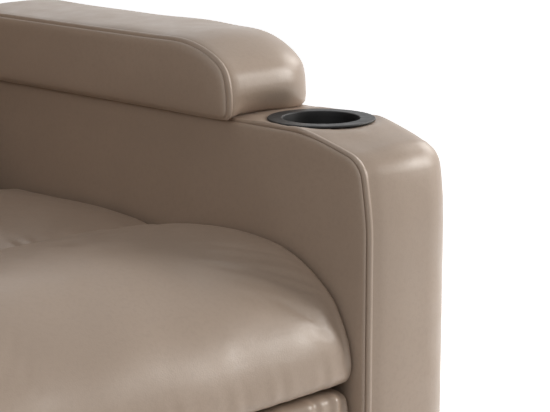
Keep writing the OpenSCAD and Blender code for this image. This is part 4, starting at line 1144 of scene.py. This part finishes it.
# The camera that was fitted to the photograph, in m and degrees
CAMERA_AT = (-1.0791, -1.7441, 0.91466)
CAMERA_YAW, CAMERA_PITCH = 43.6567, 12.0648
LENS, SENSOR = 130.9, 36.0
CAMERA_REACH = 50
cam = bpy.data.cameras.new("camera")
cam.lens = LENS
cam.sensor_width = SENSOR
cam.clip_end = CAMERA_REACH
camera = bpy.data.objects.new("camera", cam)
scene.collection.objects.link(camera)
camera.location = CAMERA_AT
camera.rotation_euler = (math.pi / 2 - math.radians(CAMERA_PITCH), 0, -math.radians(CAMERA_YAW))
scene.camera = camera

# The light of the surroundings, and how much the floor shines by itself towards the camera
AMBIENT = 0.16
FLOOR_GLOW = 0.8
FLOOR_WIDE = 14
# What the lamps point at, and their colours
LIT = (0.1, -0.3, 0.45)
WARM = (1.0, 0.965, 0.92)
MILD = (1.0, 0.98, 0.955)


def lamp(name, where, wide, power, color):
    """A square lamp that points at the chair."""
    data = bpy.data.lights.new(name, "AREA")
    data.shape = "RECTANGLE"
    data.size = wide
    data.size_y = wide
    data.energy = power
    data.color = color
    o = bpy.data.objects.new(name, data)
    scene.collection.objects.link(o)
    o.location = where
    o.rotation_euler = (Vector(LIT) - Vector(where)).to_track_quat("-Z", "Y").to_euler()


lamp("key", (2.34, -1.70, 1.37), 1.0, 40, WARM)
lamp("side", (2.62, -0.16, 1.65), 1.0, 17, WARM)
lamp("top", (0.1, -0.86, 3.19), 1.6, 9, MILD)
lamp("fill", (-1.86, -1.70, 1.85), 1.6, 12, MILD)


def seen(tree):
    """1 for rays that look at the backdrop: straight, in a reflection or through something clear."""
    path = tree.nodes.new("ShaderNodeLightPath")
    out = path.outputs["Is Camera Ray"]
    for name in ("Is Glossy Ray", "Is Transmission Ray"):
        either = tree.nodes.new("ShaderNodeMath")
        either.operation = "MAXIMUM"
        tree.links.new(out, either.inputs[0])
        tree.links.new(path.outputs[name], either.inputs[1])
        out = either.outputs[0]
    return out


def strength(tree, low, high, socket):
    """Drives a strength socket: high for rays that look at the backdrop, low for the others."""
    level = tree.nodes.new("ShaderNodeMapRange")
    level.inputs["To Min"].default_value = low
    level.inputs["To Max"].default_value = high
    tree.links.new(seen(tree), level.inputs["Value"])
    tree.links.new(level.outputs["Result"], socket)


world = bpy.data.worlds.new("studio")
scene.world = world
world.use_nodes = True
backdrop = world.node_tree.nodes["Background"]
backdrop.inputs["Color"].default_value = (1, 1, 1, 1)
strength(world.node_tree, AMBIENT, 1.0, backdrop.inputs["Strength"])

bpy.ops.mesh.primitive_plane_add(size=FLOOR_WIDE)
floor = bpy.context.object
floor.name = "floor"
fm = Nodes("floor_paint")
blotches = fm.scalar(fm.noise(3.0), 0.0, 1.0, 0.4, 0.6)
paint = fm.mix(blotches, (0.83, 0.83, 0.83), (0.86, 0.86, 0.86))
fm.done(paint, 0.6, fm.bump(fm.noise(60.0), 0.05, 0.0005))
glow = fm.new("ShaderNodeEmission")
strength(fm.t, 0.0, FLOOR_GLOW, glow.inputs["Strength"])
both = fm.new("ShaderNodeAddShader")
fm.link(fm.shader.outputs["BSDF"], both.inputs[0])
fm.link(glow.outputs["Emission"], both.inputs[1])
fm.link(both.outputs["Shader"], fm.t.nodes["Material Output"].inputs["Surface"])
floor.data.materials.append(fm.mat)

scene.view_settings.view_transform = "Standard"
